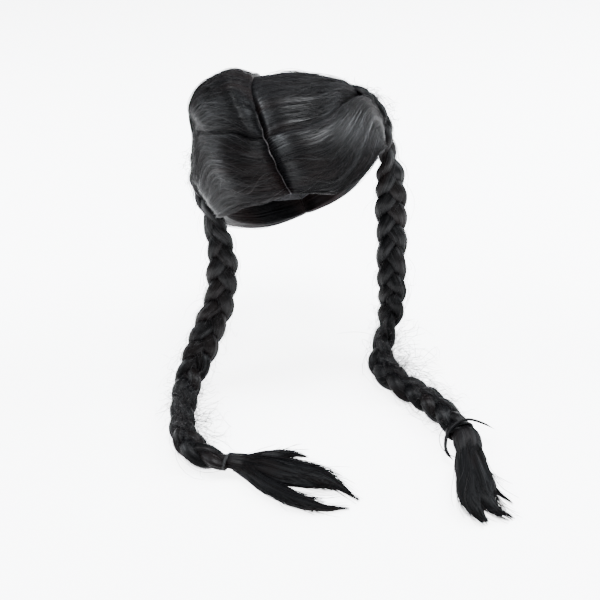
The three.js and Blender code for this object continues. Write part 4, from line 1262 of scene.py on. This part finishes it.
class WIG_OT_tails(bpy.types.Operator):
    """Lays the loose tails below the ties, each of three locks that split into hairs"""

    bl_idname = "wig.tails"
    bl_label = "Tails"

    def execute(self, context):
        sizes, colours = context.scene.wig_sizes, context.scene.wig_colours
        hair = wig_hair(colours, *TAIL)
        chance = np.random.default_rng(8)
        for side in ("left", "right"):
            way = plait_way(side)
            parts = [tail_bundle(way, side)]
            for n, rows in enumerate(TAILS[side]):
                parts.append(tail_lock(way, rows, 90 + 10 * n))
            make_piece(f"{side}_tail_locks", *joined(parts), hair, "hair", (f"{side}_tail",))
            paths = tail_hairs(way, side, sizes.hairs_in_tail, chance)
            strew(f"{side}_tail_single_hairs", paths, 0.45, 1.15, chance, hair)
        return {"FINISHED"}


def tail_bundle(way, side):
    """The head of a tail: an oval that starts at the tie, sinks to the locks and thins out among them."""
    end, ahead, across = tail_frame(way)
    width = way["width"][-1]
    along = np.linspace(BUNDLE[0][0], BUNDLE[-1][0], 34)
    angle = full_turn(52)
    wide = PLAIT_WIDTH / 2 * width * smooth(BUNDLE, along, 1)
    thick = PLAIT_THICKNESS / 2 * width * smooth(BUNDLE, along, 2)
    low = -REST_DROP + SEAT_GAP + TAIL_THICKNESS * 0.45
    level = mixed(end[2], low, smooth(BUNDLE, along, 3))
    distance = along * PLAIT_WIDTH
    aside = tail_middle(side, distance)
    line = end * LEVEL + ahead * distance[:, None] + across * aside[:, None] + UP * level[:, None]
    grid = ovals(line, across, UP, wide, thick, angle)
    flow = as_flow(np.abs(angle - math.pi)[None] * PLAIT_WIDTH / 2 * width, distance[:, None])
    grid = grid + outward(grid) * combing(flow[..., 0], flow[..., 1], 77, TAIL_LAYERS)[..., None]
    return ring_grid(grid, flow)


def tail_middle(side, distance):
    """How far across the middle of a tail's locks has moved at a distance from the tie."""
    along = distance / TAIL_LENGTH
    return np.mean([smooth(rows, along, 1) for rows in TAILS[side]], axis=0) * TAIL_LENGTH


def lock_place(way, rows, along, p, q, least=0.0):
    """A place in a lock: p from -1 to 1 square to its middle line and q from -1 to 1 over its thickness."""
    end, ahead, across = tail_frame(way)
    aside = smooth(rows, along, 1) * TAIL_LENGTH
    slope = (smooth(rows, along + 0.01, 1) - smooth(rows, along - 0.01, 1)) / 0.02
    square = 1 / np.sqrt(1 + slope ** 2)
    wide = np.maximum(smooth(rows, along, 2), least) * TAIL_LENGTH / 2 * p
    thick = smooth(rows, along, 3) * TAIL_THICKNESS / 2
    level = -REST_DROP + SEAT_GAP + thick * (1 + q)
    return (
        end * LEVEL + ahead * (along * TAIL_LENGTH - slope * square * wide)[..., None]
        + across * (aside + square * wide)[..., None] + UP * level[..., None]
    )


def tail_lock(way, rows, seed):
    """The body of a lock, which thins out before its tip and leaves that to the single hairs."""
    first, last = rows[0][0], rows[-1][0]
    run = np.linspace(0, 1, 66)[:, None]
    along = mixed(first, last, run * 0.96)
    angle = full_turn(40)[None]
    slim = 0.95 - 0.5 * ease((run - 0.62) / 0.38)
    along = along + 0.075 * ripple(np.cos(angle) * 4.5 + seed, angle * 0, seed) * ease((run - 0.55) / 0.45)
    grid = lock_place(way, rows, along, slim * np.cos(angle), 0.95 * np.sin(angle) + along * 0)
    flow = as_flow(np.abs(angle - math.pi) * 12 * MM, along * TAIL_LENGTH)
    fade = np.clip((1 - run) / 0.3, 0.15, 1)
    relief = combing(flow[..., 0], flow[..., 1], seed, TAIL_LAYERS) * fade
    return ring_grid(above(grid + outward(grid) * relief[..., None], 0.2 * MM), flow + seed)


def tail_hairs(way, side, count, chance):
    """Hairs that leave the tie together, keep to a lock and end in wisps that draw to a point."""
    end, ahead, across = tail_frame(way)
    width = way["width"][-1]
    wisps = 9
    run = np.linspace(0, 1, HAIR_STEPS)[None]
    paths = []
    weights = np.array([sum(row[2] for row in rows) for rows in TAILS[side]])
    for rows, weight in zip(TAILS[side], weights / weights.sum()):
        number = int(count * weight)
        angle = chance.uniform(0, 2 * math.pi, (number, 1))
        radial = chance.uniform(0.3, 1, (number, 1)) ** 0.5
        p, q = np.cos(angle) * radial, np.sin(angle) * radial * 1.06
        wisp = chance.integers(0, wisps, (number, 1))
        middle = np.linspace(-0.95, 0.95, wisps)[wisp] + 0.1 * np.sin(wisp * 5.3)
        reach = 1.03 - 0.2 * np.abs(np.sin(wisp * 2.7 + rows[0][1] * 90))
        last = rows[-1][0] * (reach - 0.4 * chance.uniform(0, 1, (number, 1)) ** 3)
        along = mixed(0.004, last, run)
        drawn = mixed(p, middle, 0.86 * ease((run - 0.45) / 0.55))
        in_lock = lock_place(way, rows, along, drawn, q * (1 - 0.4 * run), 0.045 * ease(run * 1.4))
        spread = p * PLAIT_WIDTH / 2 * width * 0.95
        bundle = (
            end + ahead * (along * TAIL_LENGTH)[..., None]
            + across * (spread + tail_middle(side, along * TAIL_LENGTH))[..., None]
            + UP * (q * PLAIT_THICKNESS / 2 * width * 0.93 + along * 0)[..., None]
        )
        path = mixed(bundle, in_lock, ease((along - 0.01) / 0.24)[..., None])
        stray = run ** 2.5 * chance.uniform(0, 1, (number, 1)) ** 2.4
        path = path + across * (stray * chance.normal(0, 8 * MM, (number, 1)))[..., None]
        path = path + ahead * (stray * chance.normal(0, 4 * MM, (number, 1)))[..., None]
        path = path + UP * (stray * np.abs(chance.normal(0, 5 * MM, (number, 1))))[..., None]
        paths.append(above(path, 0.3 * MM))
    return np.vstack(paths)


def wound(way, turns, pitch, start, lift, radius, flat, steps):
    """A helix with an oval turn, wound round a plait's end, that tapers at both of its own ends."""
    end, ahead, across = tail_frame(way)
    width = way["width"][-1]
    run = np.linspace(0, 1, steps)
    angle = run * turns * 2 * math.pi + math.pi * 0.6
    wide = PLAIT_WIDTH / 2 * width + lift
    thick = PLAIT_THICKNESS / 2 * width + lift
    line = (
        end + ahead * (start + pitch * turns * run)[:, None]
        + across * (np.cos(angle) * wide)[:, None] + UP * (np.sin(angle) * thick)[:, None]
    )
    taper = np.clip(np.minimum(run, 1 - run) * 14, 0.2, 1)
    return tube(above(line, radius * 0.9), radius * taper, flat, end)


def tube(line, radius, flat, middle):
    """A lock of hair or a band along a line: an oval whose flat side faces away from a middle."""
    forward = unit(np.gradient(line, axis=0))
    out = unit(line - middle - forward * dot(line - middle, forward))
    beside = np.cross(forward, out)
    angle = full_turn(22)
    most = radius.max()
    grid = ovals(line, beside[:, None], out[:, None], radius * flat, radius, angle)
    flow = as_flow(np.abs(angle - math.pi)[None] * most * flat, walked(line)[:, None])
    relief = combing(flow[..., 0], flow[..., 1], 7, ((most * 0.7, most * 0.14, 16),))
    return ring_grid(above(grid + outward(grid) * relief[..., None], 0.2 * MM), flow)


class WIG_OT_ties(bpy.types.Operator):
    """Ties the plaits: a thin elastic on the right, a wrapped lock with a loose loop on the left"""

    bl_idname = "wig.ties"
    bl_label = "Ties"

    def execute(self, context):
        colours = context.scene.wig_colours
        hair = wig_hair(colours, *PLAITED)
        elastic = elastic_finish(tuple(colours.elastic))
        band = wound(plait_way("right"), *ELASTIC_WINDING)
        make_piece("right_tie_elastic", *band, elastic, "elastic", ("right_tie",))
        way = plait_way("left")
        end, ahead, across = tail_frame(way)
        parts = [wound(way, *LOCK_WINDING)]
        for rows, thickness in ((TIE_LOOP, LOOP_THICKNESS), (TIE_HAIR, LOOP_THICKNESS / 5)):
            points = [
                end + (ahead * row[0] + across * row[1] + np.array([0, 0, row[2]])) * PLAIT_WIDTH
                for row in rows
            ]
            line, spots = curve_through(points, 16)
            radius = thickness / 2 * smooth([(n, row[3]) for n, row in enumerate(rows)], spots, 1)
            radius = radius * np.clip(np.minimum(spots, len(points) - 1 - spots) * 1.5, 0.12, 1)
            parts.append(tube(line, radius, 1.3, end - 20 * MM * UP))
        make_piece("left_tie_lock", *joined(parts), hair, "hair", ("left_tie",))
        return {"FINISHED"}


class WIG_PT_panel(bpy.types.Panel):
    """Lists the wig's sizes, colours and steps"""

    bl_idname = "WIG_PT_panel"
    bl_label = "Plaited Wig"
    bl_space_type = "VIEW_3D"
    bl_region_type = "UI"
    bl_category = "Wig"

    def draw(self, context):
        scene = context.scene
        for group in (scene.wig_sizes, scene.wig_colours):
            box = self.layout.box()
            for name in group.__annotations__:
                box.prop(group, name)
        for step in STEPS:
            self.layout.operator(step.bl_idname)


STEPS = (WIG_OT_stage, WIG_OT_cap, WIG_OT_parting, WIG_OT_rolls, WIG_OT_plaits, WIG_OT_ties, WIG_OT_tails)
CLASSES = (WigSizes, WigColours, *STEPS, WIG_PT_panel)


def register():
    """Makes the settings, operators and panel known."""
    for kind in CLASSES:
        bpy.utils.register_class(kind)
    bpy.types.Scene.wig_sizes = bpy.props.PointerProperty(type=WigSizes)
    bpy.types.Scene.wig_colours = bpy.props.PointerProperty(type=WigColours)


def unregister():
    """Takes them away again."""
    del bpy.types.Scene.wig_colours
    del bpy.types.Scene.wig_sizes
    for kind in reversed(CLASSES):
        bpy.utils.unregister_class(kind)


def main():
    """Makes the settings known and builds the whole wig."""
    register()
    for step in STEPS:
        group, _, name = step.bl_idname.partition(".")
        getattr(getattr(bpy.ops, group), name)()


if __name__ == "__main__":
    main()
